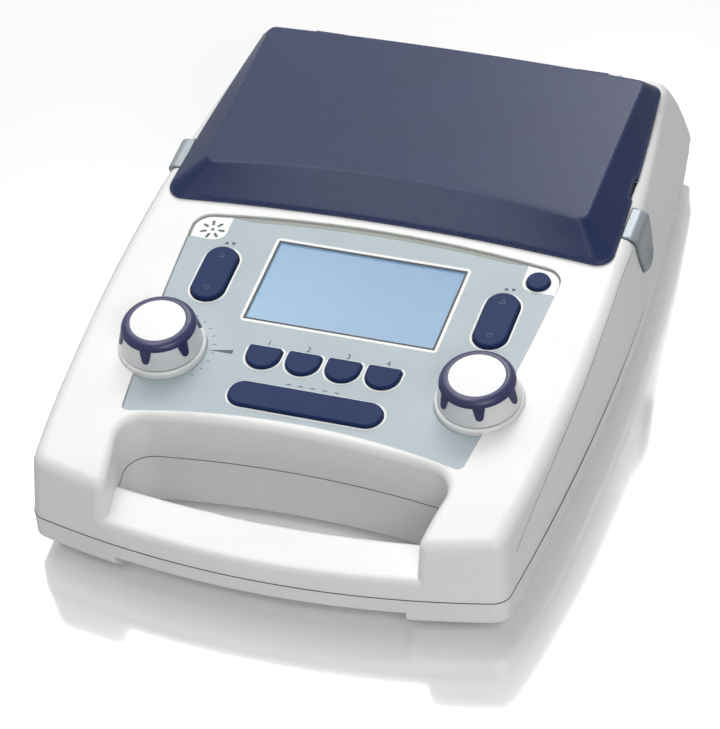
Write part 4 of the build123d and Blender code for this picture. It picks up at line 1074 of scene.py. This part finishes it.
for label, side in (("right", 1), ("left", -1)):
    v, w = latch_mark
    arrow = triangle(side * v, w, latch_mark_size, -1)
    mesh = flat_shape(f"{label}_latch_mark", [arrow], *latch_mark_rise, side_place(side))
    add_piece(f"{label}_latch_mark", mesh, mark_grey, f"{label}_latch")
    add_lines(f"{label}_latch_rim", [dish_rim(side)], line_radius, latch_grey, f"{label}_latch")
    # Dark lines in the gap round the lever: painted shade.
    add_lines(f"{label}_latch_gap", latch_gap_lines(side, f"{label}_latch_lever"), latch_gap_radius, seam_shadow)
    course = [on_panel(side * pin_place[0], v, pin_place[1]) for v in pin_boss_v]
    add_lines(f"{label}_pin_boss", [course], pin_boss_radius, white_case, sides=pin_boss_sides)


# Painted shade in the recesses of the case screws, a plate of painted shade on the frame under the lid's cable notch,
# rings under the feet

# Dark crosses on the screw heads: painted shade where the cross recesses are.
recess_shade = marks_mesh(
    "screw_recess_shade", [(side * x, y) for x, y in screw_places for side in (-1, 1)], recess_arm, recess_arm,
    recess_width, seam_shadow, Matrix.Identity(4), screw_head_z + recess_rise[1], screw_head_z + recess_rise[0],
)
add_piece("screw_recess_shade", recess_shade, seam_shadow, "case")
# Dark plate under the lid's cable notch: painted shade that darkens the notch.
add_piece("cable_notch_shade", panel_plate("cable_notch_shade", cable_notch_shade, *cable_notch_shade_w), soft_rubber, "case")
foot_rings = [
    [Vector((a, b, foot_ring_thick)) * mm for a, b in arc(side * x, y, radius, 0, 360, foot_ring_steps)]
    for x, y in foot_places for side in (-1, 1) for radius in foot_ring_radii
]
add_lines("foot_rings", foot_rings, foot_ring_thick, black_plastic)


# Coloured rings round the sockets in the tray

socket_wall = panel_place @ Matrix.Translation((0, socket_wall_v * mm, 0)) @ Matrix.Rotation(math.radians(90), 4, "X")
for number, (u, finish) in enumerate(zip(socket_u, (ring_red, ring_blue, ring_grey, ring_black)), 1):
    loops = [arc(u, socket_w, radius, 0, socket_ring_end, round_steps) for radius in socket_ring]
    mesh = flat_shape(f"socket_ring_{number}", loops, *socket_ring_rise, socket_wall)
    add_piece(f"socket_ring_{number}", mesh, finish, "case")


# Camera, light and floor

def add_camera():
    """The camera at the photograph's angle."""
    data = bpy.data.cameras.new("camera")
    data.sensor_width = 36.0
    data.lens = 187.46
    data.clip_start = 0.05
    camera = bpy.data.objects.new("camera", data)
    right = Vector((0.94386, 0.32398, -0.06452))
    up = Vector((-0.16349, 0.62784, 0.76097))
    forward = Vector((-0.28705, 0.70771, -0.64556))
    place = Vector((0.53287, -1.35023, 1.22662))
    camera.matrix_world = Matrix((
        (right.x, up.x, -forward.x, place.x),
        (right.y, up.y, -forward.y, place.y),
        (right.z, up.z, -forward.z, place.z),
        (0, 0, 0, 1),
    ))
    bpy.context.scene.collection.objects.link(camera)
    bpy.context.scene.camera = camera


def add_softbox(name, place, aim, width, height, power):
    """A large plain area light that faces a point."""
    data = bpy.data.lights.new(name, "AREA")
    data.shape = "RECTANGLE"
    data.size = width
    data.size_y = height
    data.energy = power
    lamp = bpy.data.objects.new(name, data)
    lamp.location = place
    lamp.rotation_euler = (Vector(aim) - Vector(place)).to_track_quat("-Z", "Y").to_euler()
    bpy.context.scene.collection.objects.link(lamp)


def add_world(strength):
    """Even studio light, and a white background."""
    world = bpy.data.worlds.new("studio")
    world.use_nodes = True
    tree = world.node_tree
    background = tree.nodes["Background"]
    path = add_node(tree, "ShaderNodeLightPath")
    seen = maths(tree, "MAXIMUM", path.outputs["Is Camera Ray"], path.outputs["Is Transmission Ray"])
    seen = maths(tree, "MAXIMUM", seen, path.outputs["Is Glossy Ray"])
    background.inputs["Color"].default_value = (1.0, 1.0, 1.0, 1.0)
    tree.links.new(ranged(tree, seen, 0.0, 1.0, strength, 1.0), background.inputs["Strength"])
    bpy.context.scene.world = world


def add_floor(lift):
    """Pale floor that stays near white, and keeps the shadow."""
    bm = bmesh.new()
    bmesh.ops.create_grid(bm, x_segments=8, y_segments=8, size=4.0)
    mesh = bpy.data.meshes.new("floor")
    bm.to_mesh(mesh)
    bm.free()
    floor = bpy.data.objects.new("floor", mesh)
    bpy.context.scene.collection.objects.link(floor)
    material, tree, shader = new_material("pale_floor")
    shader.inputs["Roughness"].default_value = 0.12
    shader.inputs["IOR"].default_value = 4.2
    shader.inputs["Emission Color"].default_value = (1.0, 1.0, 1.0, 1.0)
    path = add_node(tree, "ShaderNodeLightPath")
    seen = path.outputs["Is Camera Ray"]
    tree.links.new(maths(tree, "MULTIPLY", seen, lift), shader.inputs["Emission Strength"])
    pale = blended(tree, seen, (0.3, 0.3, 0.3, 1.0), (0.7, 0.7, 0.7, 1.0))
    tree.links.new(pale, shader.inputs["Base Color"])
    mesh.materials.append(material)


add_camera()
add_world(0.17)
add_softbox("key_softbox", (-0.6, 0.85, 1.4), (0.0, 0.0, 0.05), 1.4, 1.1, 9.8)
add_softbox("back_softbox", (-0.05, 1.35, 1.5), (0.0, 0.0, 0.05), 0.7, 0.6, 8.5)
add_softbox("overhead_softbox", (-0.35, 0.0, 1.5), (0.0, 0.0, 0.05), 0.9, 0.4, 7.0)
add_softbox("front_softbox", (0.75, -1.1, 1.05), (0.0, -0.1, 0.05), 0.9, 0.6, 8.8)
add_floor(0.12)
bpy.context.scene.view_settings.view_transform = "Standard"
